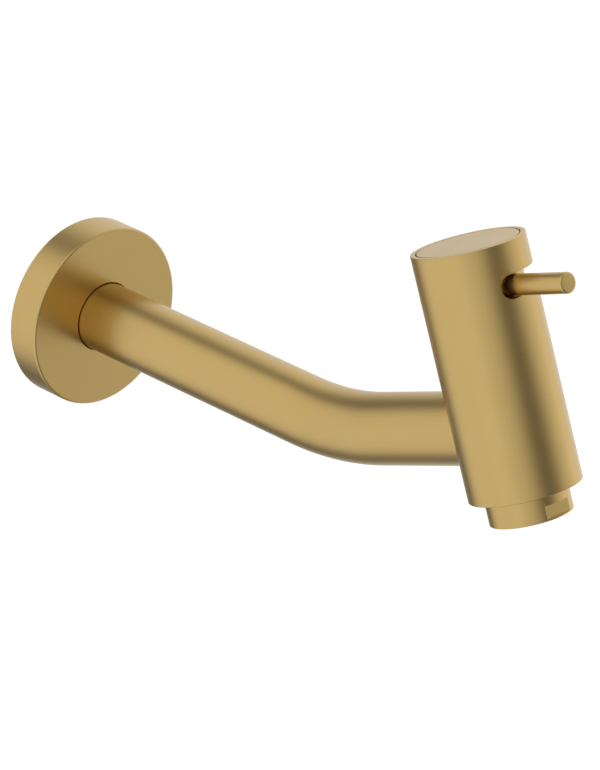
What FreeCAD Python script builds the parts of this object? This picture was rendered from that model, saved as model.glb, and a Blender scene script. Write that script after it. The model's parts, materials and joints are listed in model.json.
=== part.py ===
import FreeCAD, Part
import math
import os
import re

import Sketcher

# A wall-mounted basin tap with its valve in the head at the end of the arm.
# Millimetres. X runs along the wall, -Y out of the wall, +Z up. The origin is
# the centre of the inlet thread in the plane of the finished wall.
#
# Three frames carry the pieces. The wall frame has its own Z along the inlet
# axis, out of the wall. The head frame stands where the arm's axis meets the
# head's axis, with its own Z up the leaning head and its front at -Y. The
# screw frame points straight down from the inlet axis.

V = FreeCAD.Vector
Constraint = Sketcher.Constraint

SIZES = {
    # Arm
    "tube_diameter": 24.5,
    "tube_wall": 2.0,
    "tube_end_gap": 0.5,
    "arm_run": 134.0,
    "arm_reach": 82.0,
    "bend_angle": 20.0,
    "bend_radius": 113.0,
    # Wall flange and its seals
    "flange_diameter": 65.0,
    "flange_thickness": 13.0,
    "flange_rim_wall": 4.0,
    "flange_face_wall": 2.5,
    "flange_boss_wall": 5.5,
    "flange_bore_gap": 0.25,
    "flange_edge_round": 0.8,
    "wall_seal_width": 2.0,
    "wall_seal_depth": 1.5,
    "wall_seal_inset": 0.9,
    "flange_ring_cord": 1.6,
    "flange_ring_lip": 1.0,
    # Inlet nipple, screwed into the wall
    "inlet_thread_diameter": 20.955,
    "inlet_thread_length": 15.0,
    "inlet_thread_chamfer": 1.0,
    "nipple_collar_width": 24.0,
    "nipple_collar_thickness": 4.0,
    "nipple_bore": 11.5,
    "nipple_key_width": 12.0,
    "nipple_key_depth": 8.0,
    "nipple_spigot_length": 22.0,
    "nipple_spigot_gap": 0.1,
    "nipple_ring_cord": 1.8,
    "nipple_ring_inset": 3.5,
    "nipple_ring_pitch": 6.0,
    # Grub screw that holds flange, tube and nipple together
    "grub_diameter": 5.0,
    "grub_length": 8.0,
    "grub_key_width": 2.5,
    "grub_key_depth": 2.5,
    "grub_point": 0.8,
    "grub_bite": 0.9,
    # Tap body
    "body_diameter": 38.0,
    "body_above_arm": 62.4,
    "body_below_arm": 20.7,
    "body_bottom_round": 0.5,
    "body_rim_round": 0.6,
    "hub_cavity_wall": 2.4,
    "hub_floor_gap": 5.0,
    "arm_socket_inset": 13.0,
    "arm_passage_diameter": 14.0,
    "seat_below_arm": 8.0,
    "outlet_bore": 12.0,
    # Cap
    "cap_wall": 1.7,
    "cap_gap": 0.3,
    "cap_thickness": 3.5,
    "cap_skirt_depth": 3.0,
    "cap_skirt_wall": 3.0,
    "cap_skirt_gap": 0.3,
    "cap_edge_round": 0.2,
    "cap_ring_cord": 1.5,
    # Lever and hub
    "lever_drop": 14.4,
    "lever_diameter": 7.0,
    "lever_reach": 42.2,
    "lever_tip_round": 0.7,
    "lever_seat_depth": 3.0,
    "lever_stud_diameter": 5.0,
    "lever_stud_length": 5.3,
    "lever_travel": 90.0,
    "slot_height": 7.7,
    "slot_spare_angle": 8.0,
    "hub_gap": 2.95,
    "hub_height": 13.0,
    "hub_edge_chamfer": 0.4,
    "hub_screw_diameter": 4.0,
    "hub_screw_head_diameter": 7.0,
    "hub_screw_head_height": 3.6,
    "hub_screw_recess": 4.0,
    "hub_screw_reach": 10.0,
    "hub_screw_key_width": 3.0,
    "hub_screw_key_depth": 2.0,
    "hub_screw_gap": 0.25,
    "hub_clamp_gap": 0.2,
    # Ceramic headwork
    "headwork_depth": 24.0,
    "headwork_thread_diameter": 20.955,
    "headwork_thread_length": 9.0,
    "headwork_flange_diameter": 27.0,
    "headwork_flange_thickness": 2.0,
    "headwork_hex_width": 24.0,
    "headwork_hex_height": 7.0,
    "headwork_hex_chamfer": 1.2,
    "headwork_neck_diameter": 16.0,
    "headwork_neck_height": 8.0,
    "headwork_waist_diameter": 19.4,
    "headwork_skirt_diameter": 17.2,
    "headwork_skirt_wall": 1.45,
    "headwork_ring_cord": 1.9,
    "window_width": 9.0,
    "window_margin": 0.2,
    "spanner_gap": 0.7,
    "seal_height": 3.0,
    "seal_stand": 1.0,
    "seal_bore": 10.4,
    "fixed_disc_thickness": 3.0,
    "moving_disc_thickness": 3.0,
    "disc_gap": 0.15,
    "disc_lap": 0.02,
    "disc_ear_width": 3.0,
    "port_inner_radius": 1.8,
    "port_outer_radius": 5.6,
    "port_angle": 80.0,
    "stop_rib_angle": 24.0,
    "stop_rib_gap": 0.4,
    "stop_spare_angle": 1.0,
    "slip_washer_thickness": 0.65,
    # Spindle
    "spindle_diameter": 10.0,
    "spindle_gap": 0.05,
    "spindle_foot_height": 4.2,
    "spindle_dog_width": 2.2,
    "spindle_dog_depth": 1.1,
    "spindle_dog_length": 10.0,
    "spindle_ring_cord": 1.7,
    "spindle_ring_rise": 3.0,
    "spindle_ring_pitch": 5.0,
    "clip_thickness": 0.9,
    "clip_groove_depth": 0.9,
    "clip_width": 2.6,
    "clip_arc": 300.0,
    "spline_diameter": 8.0,
    "spline_depth": 0.4,
    "spline_angle": 75.0,
    "spline_teeth": 20.0,
    "spline_gap": 0.08,
    "spline_tip_gap": 0.12,
    # Aerator
    "aerator_thread_diameter": 24.0,
    "aerator_thread_length": 7.5,
    "aerator_diameter": 28.0,
    "aerator_drop": 9.0,
    "aerator_flat_width": 26.0,
    "aerator_flat_height": 4.5,
    "aerator_flat_rise": 0.5,
    "aerator_edge_round": 0.4,
    "aerator_wall": 1.0,
    "aerator_lip": 0.6,
    "aerator_lip_thickness": 1.4,
    "aerator_washer_thickness": 1.0,
    "aerator_washer_bore": 16.0,
    "insert_wall": 1.2,
    "insert_plate_thickness": 1.0,
    "insert_plate_drop": 4.0,
    "insert_grid_height": 4.0,
    "insert_ring_pitch": 2.3,
    "insert_ring_wall": 0.6,
    "insert_ribs": 12.0,
    "screen_thickness": 0.8,
    "screen_hole_diameter": 1.3,
    "screen_hole_pitch": 2.7,
    "screen_holes": 6.0,
    # Clearances that many seats share
    "seat_gap": 0.05,
    "thread_gap": 0.05,
    "ring_gap": 0.02,
    "ring_side_gap": 0.15,
}

# Radii, and heights in each frame, that follow from the sizes above.
LEVELS = {
    "half_turn": "180",
    "tube_radius": "tube_diameter / 2",
    "tube_bore_radius": "tube_radius - tube_wall",
    "bend_tangent": "bend_radius * tan(bend_angle / 2)",
    "arm_back": "nipple_collar_thickness + tube_end_gap",
    "arm_outer_leg": "arm_reach - arm_socket_inset - seat_gap - bend_tangent",
    # Wall frame
    "flange_radius": "flange_diameter / 2",
    "flange_rim_inside": "flange_radius - flange_rim_wall",
    "flange_recess_floor": "flange_thickness - flange_face_wall",
    "flange_bore_radius": "tube_radius + flange_bore_gap",
    "flange_boss_radius": "flange_bore_radius + flange_boss_wall",
    "wall_seal_outside": "flange_radius - wall_seal_inset",
    "wall_seal_inside": "wall_seal_outside - wall_seal_width",
    "flange_ring_radius": "tube_radius + ring_gap + flange_ring_cord / 2",
    "flange_ring_floor": "flange_ring_radius + flange_ring_cord / 2 + ring_gap",
    "flange_ring_half": "flange_ring_cord / 2 + ring_side_gap",
    "flange_ring_level": "flange_thickness - flange_ring_lip - flange_ring_half",
    "grub_radius": "grub_diameter / 2",
    "grub_hole_radius": "grub_radius + thread_gap",
    "grub_level": "arm_back + grub_radius + thread_gap + ring_side_gap",
    "inlet_thread_radius": "inlet_thread_diameter / 2",
    "nipple_bore_radius": "nipple_bore / 2",
    "nipple_spigot_radius": "tube_bore_radius - nipple_spigot_gap",
    "nipple_front": "nipple_collar_thickness + nipple_spigot_length",
    "nipple_ring_radius": "tube_bore_radius - ring_gap - nipple_ring_cord / 2",
    "nipple_ring_floor": "nipple_ring_radius - nipple_ring_cord / 2 - ring_gap",
    "nipple_ring_half": "nipple_ring_cord / 2 + ring_side_gap",
    "nipple_ring_front_level": "nipple_front - nipple_ring_inset",
    "nipple_ring_back_level": "nipple_ring_front_level - nipple_ring_pitch",
    "nipple_catch_radius": "nipple_spigot_radius - grub_bite",
    "nipple_catch_half": "grub_radius + seat_gap",
    "grub_start": "nipple_catch_radius + seat_gap",
    "grub_end": "grub_start + grub_length",
    # Head frame, tap body
    "body_radius": "body_diameter / 2",
    "cap_seat_radius": "body_radius - cap_wall",
    "cap_seat_level": "body_above_arm - cap_thickness",
    "hub_cavity_radius": "body_radius - hub_cavity_wall",
    "lever_level": "body_above_arm - lever_drop",
    "hub_bottom": "lever_level - hub_height / 2",
    "hub_top": "lever_level + hub_height / 2",
    "hub_floor": "hub_bottom - hub_floor_gap",
    "seat_level": "-seat_below_arm",
    "shoulder_level": "seat_level + headwork_depth",
    "arm_socket_radius": "tube_radius + seat_gap",
    "valve_bore_radius": "headwork_thread_diameter / 2 + thread_gap",
    "socket_radius": "headwork_hex_corner + spanner_gap",
    "aerator_bore_radius": "aerator_thread_diameter / 2 + thread_gap",
    "body_bottom": "-body_below_arm",
    "aerator_ceiling": "aerator_neck_top + aerator_washer_thickness",
    "slot_half": "slot_height / 2",
    "clear_of_body": "body_radius + cap_wall",
    "slot_front_angle": "-slot_spare_angle",
    "slot_back_angle": "lever_travel + slot_spare_angle",
    "slot_middle_angle": "(slot_front_angle + slot_back_angle) / 2",
    # Head frame, cap
    "cap_radius": "cap_seat_radius - cap_gap",
    "cap_underside": "cap_seat_level + seat_gap",
    "cap_skirt_radius": "hub_cavity_radius - cap_skirt_gap",
    "cap_skirt_inside": "cap_skirt_radius - cap_skirt_wall",
    "cap_skirt_bottom": "cap_underside - cap_skirt_depth",
    "cap_ring_radius": "hub_cavity_radius - ring_gap - cap_ring_cord / 2",
    "cap_ring_floor": "cap_ring_radius - cap_ring_cord / 2 - ring_gap",
    "cap_ring_half": "cap_ring_cord / 2 + ring_side_gap",
    "cap_ring_level": "cap_underside - cap_skirt_depth / 2",
    # Head frame, headwork from the seat upwards
    "headwork_bottom": "seat_level + seal_stand",
    "fixed_disc_bottom": "seat_level + seal_height",
    "disc_face": "fixed_disc_bottom + fixed_disc_thickness",
    "moving_disc_bottom": "disc_face + disc_lap",
    "moving_disc_top": "moving_disc_bottom + moving_disc_thickness",
    "foot_bottom": "moving_disc_top + seat_gap",
    "foot_top": "foot_bottom + spindle_foot_height",
    "slip_washer_bottom": "foot_top + disc_lap",
    "slip_washer_top": "slip_washer_bottom + slip_washer_thickness",
    "chamber_top": "slip_washer_top + seat_gap",
    "stop_bottom": "foot_bottom + disc_gap",
    "headwork_skirt_radius": "headwork_skirt_diameter / 2",
    "chamber_radius": "headwork_skirt_radius - headwork_skirt_wall",
    "disc_radius": "chamber_radius - disc_gap",
    "seal_radius": "chamber_radius - seat_gap",
    "headwork_thread_radius": "headwork_thread_diameter / 2",
    "ring_seat_depth": "headwork_ring_cord + 2 * ring_side_gap",
    "thread_top": "shoulder_level - ring_seat_depth",
    "thread_bottom": "thread_top - headwork_thread_length",
    "headwork_waist_radius": "headwork_waist_diameter / 2",
    "headwork_ring_radius": "headwork_waist_radius + ring_gap + headwork_ring_cord / 2",
    "ring_seat_radius": "headwork_ring_radius + headwork_ring_cord / 2 + ring_gap",
    "headwork_ring_level": "shoulder_level - ring_seat_depth / 2",
    "headwork_flange_top": "shoulder_level + headwork_flange_thickness",
    "headwork_hex_top": "headwork_flange_top + headwork_hex_height",
    "headwork_hex_corner": "headwork_hex_width / 2 / cos(30)",
    "clear_of_hexagon": "headwork_hex_corner + spanner_gap",
    "headwork_neck_radius": "headwork_neck_diameter / 2",
    "headwork_top": "headwork_hex_top + headwork_neck_height",
    "window_bottom": "disc_face + window_margin",
    "window_top": "thread_bottom - window_margin",
    "ear_reach": "headwork_skirt_radius - seat_gap",
    # Head frame, spindle
    "spindle_radius": "spindle_diameter / 2",
    "spindle_bore_radius": "spindle_radius + spindle_gap",
    "foot_radius": "disc_radius - seat_gap",
    "lobe_half_angle": "(half_turn - stop_rib_angle - lever_travel) / 2 - stop_spare_angle",
    "lobe_rest_angle": "-lever_travel / 2",
    "spindle_ring_radius": "spindle_bore_radius - ring_gap - spindle_ring_cord / 2",
    "spindle_ring_floor": "spindle_ring_radius - spindle_ring_cord / 2 - ring_gap",
    "spindle_ring_half": "spindle_ring_cord / 2 + ring_side_gap",
    "spindle_ring_low_level": "shoulder_level + spindle_ring_rise",
    "spindle_ring_high_level": "spindle_ring_low_level + spindle_ring_pitch",
    "clip_floor": "spindle_radius - clip_groove_depth",
    "clip_inside": "clip_floor + seat_gap",
    "clip_outside": "clip_inside + clip_width",
    "clip_bottom": "headwork_top + ring_side_gap",
    "clip_top": "clip_bottom + clip_thickness",
    "spline_radius": "spline_diameter / 2",
    "spline_bore_radius": "spline_radius + spline_gap",
    "hub_screw_seat": "hub_top - hub_screw_recess",
    "spindle_top": "hub_screw_seat - hub_clamp_gap",
    "hub_radius": "hub_cavity_radius - hub_gap",
    "lever_radius": "lever_diameter / 2",
    "lever_seat": "hub_radius - lever_seat_depth",
    "lever_stud_radius": "lever_stud_diameter / 2",
    "lever_stud_end": "lever_seat - lever_stud_length",
    "hub_screw_radius": "hub_screw_diameter / 2",
    "hub_screw_head_radius": "hub_screw_head_diameter / 2",
    "hub_screw_head_bottom": "hub_screw_seat + seat_gap",
    "hub_screw_end": "hub_screw_seat - hub_screw_reach",
    # Head frame, aerator
    "aerator_radius": "aerator_diameter / 2",
    "clear_of_aerator": "aerator_radius + aerator_wall",
    "aerator_collar_top": "body_bottom - seat_gap",
    "aerator_bottom": "body_bottom - aerator_drop",
    "aerator_flat_bottom": "aerator_bottom + aerator_flat_rise",
    "aerator_neck_radius": "aerator_thread_diameter / 2",
    "aerator_neck_top": "body_bottom + aerator_thread_length",
    "aerator_inside": "aerator_neck_radius - aerator_wall",
    "aerator_mouth": "aerator_inside - aerator_lip",
    "aerator_lip_top": "aerator_bottom + aerator_lip_thickness",
    "insert_radius": "aerator_inside - 2 * seat_gap",
    "insert_inside": "insert_radius - insert_wall",
    "insert_bottom": "aerator_lip_top + seat_gap",
    "screen_top": "aerator_neck_top - seat_gap",
    "screen_bottom": "screen_top - screen_thickness",
    "insert_top": "screen_bottom - seat_gap",
    "insert_plate_top": "insert_top - insert_plate_drop",
    "insert_plate_bottom": "insert_plate_top - insert_plate_thickness",
}

FULL_TURN = "360"
TOLERANCE = 0.001
# The numbers by which a sketch calls a side's ends and centre, and its own two axes and origin.
START, END, CENTRE = range(1, 4)
ACROSS_AXIS, UP_AXIS = range(-1, -3, -1)
ORIGIN = (ACROSS_AXIS, START)

doc = FreeCAD.newDocument("wall_basin_tap")
sizes = doc.addObject("Spreadsheet::Sheet", "Sizes")
for row, (alias, size) in enumerate(SIZES.items(), 1):
    sizes.set("A%d" % row, alias.replace("_", " "))
    sizes.set("B%d" % row, str(size))
    sizes.setAlias("B%d" % row, alias)
doc.recompute()

pieces = []


def formula(text):
    """The same sum with every name traced back to the sheet's cells."""

    def trace(found):
        name = found.group()
        if name in SIZES:
            return "Sizes." + name
        if name in LEVELS:
            return "(" + formula(LEVELS[name]) + ")"
        return name

    return re.sub(r"[a-z][a-z_]*", trace, text)


def number(text):
    """What a formula comes to with the sheet's present sizes."""
    return float(sizes.evalExpression(formula(text)))


def new_piece(label, frame):
    """An empty body that stands in one of the three frames, tied to the sheet."""
    piece = doc.addObject("PartDesign::Body", label)
    piece.Label = label
    if frame == "wall":
        piece.Placement = FreeCAD.Placement(V(0, 0, 0), FreeCAD.Rotation(V(1, 0, 0), 90))
    if frame == "screw":
        piece.Placement = FreeCAD.Placement(V(0, 0, 0), FreeCAD.Rotation(V(1, 0, 0), 180))
        piece.setExpression("Placement.Base.y", formula("-grub_level"))
    if frame == "head":
        tilt = FreeCAD.Rotation(V(-1, 0, 0), number("bend_angle"))
        piece.Placement = FreeCAD.Placement(V(0, 0, 0), tilt)
        piece.setExpression("Placement.Rotation.Angle", formula("bend_angle"))
        piece.setExpression("Placement.Base.y", formula("-(arm_run + arm_reach * cos(bend_angle))"))
        piece.setExpression("Placement.Base.z", formula("arm_reach * sin(bend_angle)"))
    pieces.append(piece)
    return piece


def new_sketch(piece, name, plane, lift=None, swing=None):
    """A sketch on one of the piece's origin planes, lifted along its normal or swung about its upright."""
    sketch = piece.newObject("Sketcher::SketchObject", name)
    support = next(feature for feature in piece.Origin.OriginFeatures if feature.Role == plane)
    sketch.AttachmentSupport = [(support, "")]
    sketch.MapMode = "FlatFace"
    if lift:
        sketch.setExpression("AttachmentOffset.Base.z", formula(lift))
    if swing:
        angle = number(swing)
        sketch.AttachmentOffset = FreeCAD.Placement(V(0, 0, 0), FreeCAD.Rotation(V(0, 1, 0), abs(angle)))
        sketch.setExpression("AttachmentOffset.Rotation.Axis.y", "1" if angle > 0 else "-1")
        sketch.setExpression("AttachmentOffset.Rotation.Angle", formula("abs(%s)" % swing))
    return sketch


def bind(sketch, constraint, text):
    """Adds a dimension and ties it to the sheet."""
    index = sketch.addConstraint(constraint)
    sketch.setExpression("Constraints[%d]" % index, formula(text))


def hold(sketch, side, end, across, up):
    """Places one point of a sketch at two formulas measured from the sketch's origin."""
    for kind, text, axis in (("DistanceX", across, UP_AXIS), ("DistanceY", up, ACROSS_AXIS)):
        if text == "0":
            sketch.addConstraint(Constraint("PointOnObject", side, end, axis))
        else:
            bind(sketch, Constraint(kind, *ORIGIN, side, end, number(text)), text)


def draw_outline(sketch, corners):
    """A closed outline of straight sides through corners given as (across, up) formulas."""
    spots = [V(number(across), number(up), 0) for across, up in corners]
    count = len(spots)
    first = sketch.GeometryCount
    for index, spot in enumerate(spots):
        sketch.addGeometry(Part.LineSegment(spot, spots[(index + 1) % count]))
    for index, (across, up) in enumerate(corners):
        side = first + index
        sketch.addConstraint(Constraint("Coincident", side, END, first + (index + 1) % count, START))
        hold(sketch, side, START, across, up)


def draw_box(sketch, left, bottom, right, top):
    """An upright rectangle between two corners."""
    draw_outline(sketch, [(left, bottom), (right, bottom), (right, top), (left, top)])


def draw_circle(sketch, radius, across="0", up="0"):
    """A circle round a point."""
    centre = V(number(across), number(up), 0)
    side = sketch.addGeometry(Part.Circle(centre, V(0, 0, 1), number(radius)))
    hold(sketch, side, CENTRE, across, up)
    bind(sketch, Constraint("Radius", side, number(radius)), radius)


def draw_hexagon(sketch, width):
    """A regular hexagon by its width across flats, with two flats upright."""
    half = "(%s) / 2" % width
    corner = "(%s) / 2 / cos(30)" % width
    shoulder = "(%s) / 4 / cos(30)" % width
    right = [(half, "-(%s)" % shoulder), (half, shoulder), ("0", corner)]
    left = [("-(%s)" % half, shoulder), ("-(%s)" % half, "-(%s)" % shoulder), ("0", "-(%s)" % corner)]
    draw_outline(sketch, right + left)


def draw_sector(sketch, inside, outside, middle, spread):
    """A slice of a ring about the sketch's origin, spread either side of its middle angle."""
    ends = ["(%s) - (%s)" % (middle, spread), "(%s) + (%s)" % (middle, spread)]
    low, high = [math.radians(number(end)) for end in ends]
    arcs = []
    for radius in (inside, outside):
        circle = Part.Circle(V(0, 0, 0), V(0, 0, 1), number(radius))
        arc = sketch.addGeometry(Part.ArcOfCircle(circle, low, high))
        sketch.addConstraint(Constraint("Coincident", arc, CENTRE, *ORIGIN))
        bind(sketch, Constraint("Radius", arc, number(radius)), radius)
        arcs.append((arc, number(radius)))
    for end, angle, text in ((START, low, ends[0]), (END, high, ends[1])):
        direction = V(math.cos(angle), math.sin(angle), 0)
        side = sketch.addGeometry(Part.LineSegment(direction * arcs[0][1], direction * arcs[1][1]))
        sketch.addConstraint(Constraint("Coincident", side, START, arcs[0][0], end))
        sketch.addConstraint(Constraint("Coincident", side, END, arcs[1][0], end))
        sketch.addConstraint(Constraint("PointOnObject", *ORIGIN, side))
        bind(sketch, Constraint("Angle", side, angle), text)


def finish(feature, grows):
    """Recomputes and makes sure that the feature added or removed metal as it should."""
    piece = feature.getParentGeoFeatureGroup()
    base = feature.Originals[0] if hasattr(feature, "Originals") else feature.BaseFeature
    before = base.Shape.Volume if base else 0.0
    doc.recompute()
    change = feature.Shape.Volume - before
    if change == 0 or (change > 0) != grows:
        raise RuntimeError("%s on %s changed the volume by %.3f" % (feature.Name, piece.Label, change))
    return feature


def turn(piece, sketch, angle=FULL_TURN):
    """Revolves a sketch about its upright axis."""
    feature = piece.newObject("PartDesign::Revolution", sketch.Name + "_turned")
    feature.Profile = sketch
    feature.ReferenceAxis = (sketch, ["V_Axis"])
    feature.setExpression("Angle", formula(angle))
    return finish(feature, True)


def groove(piece, sketch, angle=FULL_TURN, both_ways=False):
    """Turns a sketch out of the piece, from the sketch's plane or evenly to both sides of it."""
    feature = piece.newObject("PartDesign::Groove", sketch.Name + "_cut")
    feature.Profile = sketch
    feature.ReferenceAxis = (sketch, ["V_Axis"])
    feature.Midplane = both_ways
    feature.setExpression("Angle", formula(angle))
    return finish(feature, False)


def pad(piece, sketch, length, down=False):
    """Raises a sketch along its normal, or lowers it."""
    feature = piece.newObject("PartDesign::Pad", sketch.Name + "_pad")
    feature.Profile = sketch
    feature.Reversed = down
    feature.setExpression("Length", formula(length))
    return finish(feature, True)


def pocket(piece, sketch, length=None, along_normal=False, both_ways=False):
    """Cuts a sketch out of the piece, to a depth or right through."""
    feature = piece.newObject("PartDesign::Pocket", sketch.Name + "_pocket")
    feature.Profile = sketch
    feature.Reversed = along_normal
    if both_ways:
        feature.SideType = "Symmetric"
    if length:
        feature.setExpression("Length", formula(length))
    else:
        feature.Type = "ThroughAll"
    return finish(feature, False)


def repeat(piece, feature, axis, count, grows):
    """Copies a feature evenly round an axis of the piece."""
    pattern = piece.newObject("PartDesign::PolarPattern", feature.Name + "_round")
    pattern.Originals = [feature]
    role = next(line for line in piece.Origin.OriginFeatures if line.Role == axis)
    pattern.Axis = (role, [""])
    pattern.Angle = 360
    pattern.setExpression("Occurrences", formula(count))
    piece.Tip = pattern
    return finish(pattern, grows)


def circle_edges(shape, radius, centre):
    """Names of the shape's round edges of one radius about one centre."""
    names = []
    for index, edge in enumerate(shape.Edges, 1):
        if not isinstance(edge.Curve, Part.Circle):
            continue
        if abs(edge.Curve.Radius - radius) < TOLERANCE and edge.Curve.Center.isEqual(centre, TOLERANCE):
            names.append("Edge%d" % index)
    return names


def ease(piece, kind, radius, centre, size):
    """Rounds or chamfers the turned edge of one radius, by its centre or its height on the axis."""
    base = piece.Tip
    if isinstance(centre, str):
        centre = V(0, 0, number(centre))
    feature = piece.newObject("PartDesign::" + kind, "%s_%s" % (kind.lower(), base.Name))
    feature.Base = (base, circle_edges(base.Shape, number(radius), centre))
    feature.setExpression("Radius" if kind == "Fillet" else "Size", formula(size))
    return finish(feature, False)


def turned_piece(label, frame, corners):
    """A piece revolved about its frame's upright axis from (radius, height) corners."""
    piece = new_piece(label, frame)
    sketch = new_sketch(piece, label + "_profile", "XZ_Plane")
    draw_outline(sketch, corners)
    turn(piece, sketch)
    return piece


def ring_piece(label, frame, radius, level, cord):
    """A round-section sealing ring."""
    piece = new_piece(label, frame)
    sketch = new_sketch(piece, label + "_section", "XZ_Plane")
    draw_circle(sketch, "%s / 2" % cord, radius, level)
    turn(piece, sketch)
    return piece


def groove_corners(surface, floor, level, half):
    """Four profile corners that sink a square groove into a surface, going up."""
    low = "%s - %s" % (level, half)
    high = "%s + %s" % (level, half)
    return [(surface, low), (floor, low), (floor, high), (surface, high)]


def make_wall_flange():
    """The round plate against the wall: a dished disc with a bored boss that the tube slides through."""
    ring = groove_corners("flange_bore_radius", "flange_ring_floor", "flange_ring_level", "flange_ring_half")
    piece = turned_piece("wall_flange", "wall", [
        ("flange_radius", "0"),
        ("flange_radius", "flange_thickness"),
        ("flange_bore_radius", "flange_thickness"),
        *reversed(ring),
        ("flange_bore_radius", "arm_back"),
        ("flange_boss_radius", "arm_back"),
        ("flange_boss_radius", "flange_recess_floor"),
        ("flange_rim_inside", "flange_recess_floor"),
        ("flange_rim_inside", "0"),
        ("wall_seal_inside", "0"),
        ("wall_seal_inside", "wall_seal_depth"),
        ("wall_seal_outside", "wall_seal_depth"),
        ("wall_seal_outside", "0"),
    ])
    ease(piece, "Fillet", "flange_radius", "flange_thickness", "flange_edge_round")
    key_way = new_sketch(piece, "flange_key_way", "XZ_Plane")
    draw_circle(key_way, "grub_hole_radius", "0", "grub_level")
    pocket(piece, key_way, along_normal=True)


def make_flange_seals():
    """The strip that seals the flange to the wall, and the ring that seals it to the tube."""
    turned_piece("flange_wall_seal", "wall", [
        ("wall_seal_inside + seat_gap", "0"),
        ("wall_seal_outside - seat_gap", "0"),
        ("wall_seal_outside - seat_gap", "wall_seal_depth - seat_gap"),
        ("wall_seal_inside + seat_gap", "wall_seal_depth - seat_gap"),
    ])
    ring_piece("flange_tube_ring", "wall", "flange_ring_radius", "flange_ring_level", "flange_ring_cord")


def make_wall_nipple():
    """The inlet: a male pipe thread, a hexagon against the wall and a grooved spigot inside the tube."""
    catch = groove_corners("nipple_spigot_radius", "nipple_catch_radius", "grub_level", "nipple_catch_half")
    rings = []
    for place in ("back", "front"):
        level = "nipple_ring_%s_level" % place
        rings += groove_corners("nipple_spigot_radius", "nipple_ring_floor", level, "nipple_ring_half")
    piece = turned_piece("wall_nipple", "wall", [
        ("nipple_bore_radius", "-inlet_thread_length"),
        ("inlet_thread_radius - inlet_thread_chamfer", "-inlet_thread_length"),
        ("inlet_thread_radius", "inlet_thread_chamfer - inlet_thread_length"),
        ("inlet_thread_radius", "0"),
        ("nipple_spigot_radius", "0"),
        *catch,
        *rings,
        ("nipple_spigot_radius", "nipple_front"),
        ("nipple_bore_radius", "nipple_front"),
    ])
    collar = new_sketch(piece, "nipple_collar", "XY_Plane")
    draw_hexagon(collar, "nipple_collar_width")
    draw_circle(collar, "nipple_bore_radius")
    pad(piece, collar, "nipple_collar_thickness")
    key = new_sketch(piece, "nipple_key", "XY_Plane", lift="nipple_front")
    draw_hexagon(key, "nipple_key_width")
    pocket(piece, key, "nipple_key_depth")
    for place in ("front", "back"):
        level = "nipple_ring_%s_level" % place
        ring_piece("nipple_ring_" + place, "wall", "nipple_ring_radius", level, "nipple_ring_cord")


def make_grub_screw():
    """The socket set screw under the flange's boss, through the tube and into the nipple's groove."""
    piece = turned_piece("arm_grub_screw", "screw", [
        ("0", "grub_start"),
        ("grub_radius - grub_point", "grub_start"),
        ("grub_radius", "grub_start + grub_point"),
        ("grub_radius", "grub_end"),
        ("0", "grub_end"),
    ])
    key = new_sketch(piece, "grub_key", "XY_Plane", lift="grub_end")
    draw_hexagon(key, "grub_key_width")
    pocket(piece, key, "grub_key_depth")


def make_spout_tube():
    """The arm: one tube, straight out of the wall and bent up once towards the head."""
    piece = new_piece("spout_tube", "arm")
    path = new_sketch(piece, "tube_path", "YZ_Plane")
    radius = number("bend_radius")
    angle = math.radians(number("bend_angle"))
    bend_start = V(-number("arm_run - bend_tangent"), 0, 0)
    centre = bend_start + V(0, radius, 0)
    bend_end = centre + V(-math.sin(angle), -math.cos(angle), 0) * radius
    arm_end = bend_end + V(-math.cos(angle), math.sin(angle), 0) * number("arm_outer_leg")
    down = math.radians(270)
    path.addGeometry(Part.LineSegment(V(-number("arm_back"), 0, 0), bend_start))
    path.addGeometry(Part.ArcOfCircle(Part.Circle(centre, V(0, 0, 1), radius), down - angle, down))
    path.addGeometry(Part.LineSegment(bend_end, arm_end))
    hold(path, 0, START, "-arm_back", "0")
    hold(path, 0, END, "-(arm_run - bend_tangent)", "0")
    path.addConstraint(Constraint("Tangent", 0, END, 1, END))
    path.addConstraint(Constraint("Tangent", 1, START, 2, START))
    bind(path, Constraint("Radius", 1, radius), "bend_radius")
    bind(path, Constraint("Angle", 2, math.pi - angle), "half_turn - bend_angle")
    bind(path, Constraint("Distance", 2, number("arm_outer_leg")), "arm_outer_leg")
    section = new_sketch(piece, "tube_section", "XZ_Plane", lift="arm_back")
    draw_circle(section, "tube_radius")
    draw_circle(section, "tube_bore_radius")
    doc.recompute()
    pipe = piece.newObject("PartDesign::AdditivePipe", "tube_sweep")
    pipe.Profile = section
    pipe.Spine = (path, ["Edge1", "Edge2", "Edge3"])
    finish(pipe, True)
    screw_hole = new_sketch(piece, "tube_screw_hole", "XY_Plane")
    draw_circle(screw_hole, "grub_hole_radius", "0", "-grub_level")
    pocket(piece, screw_hole)


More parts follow.
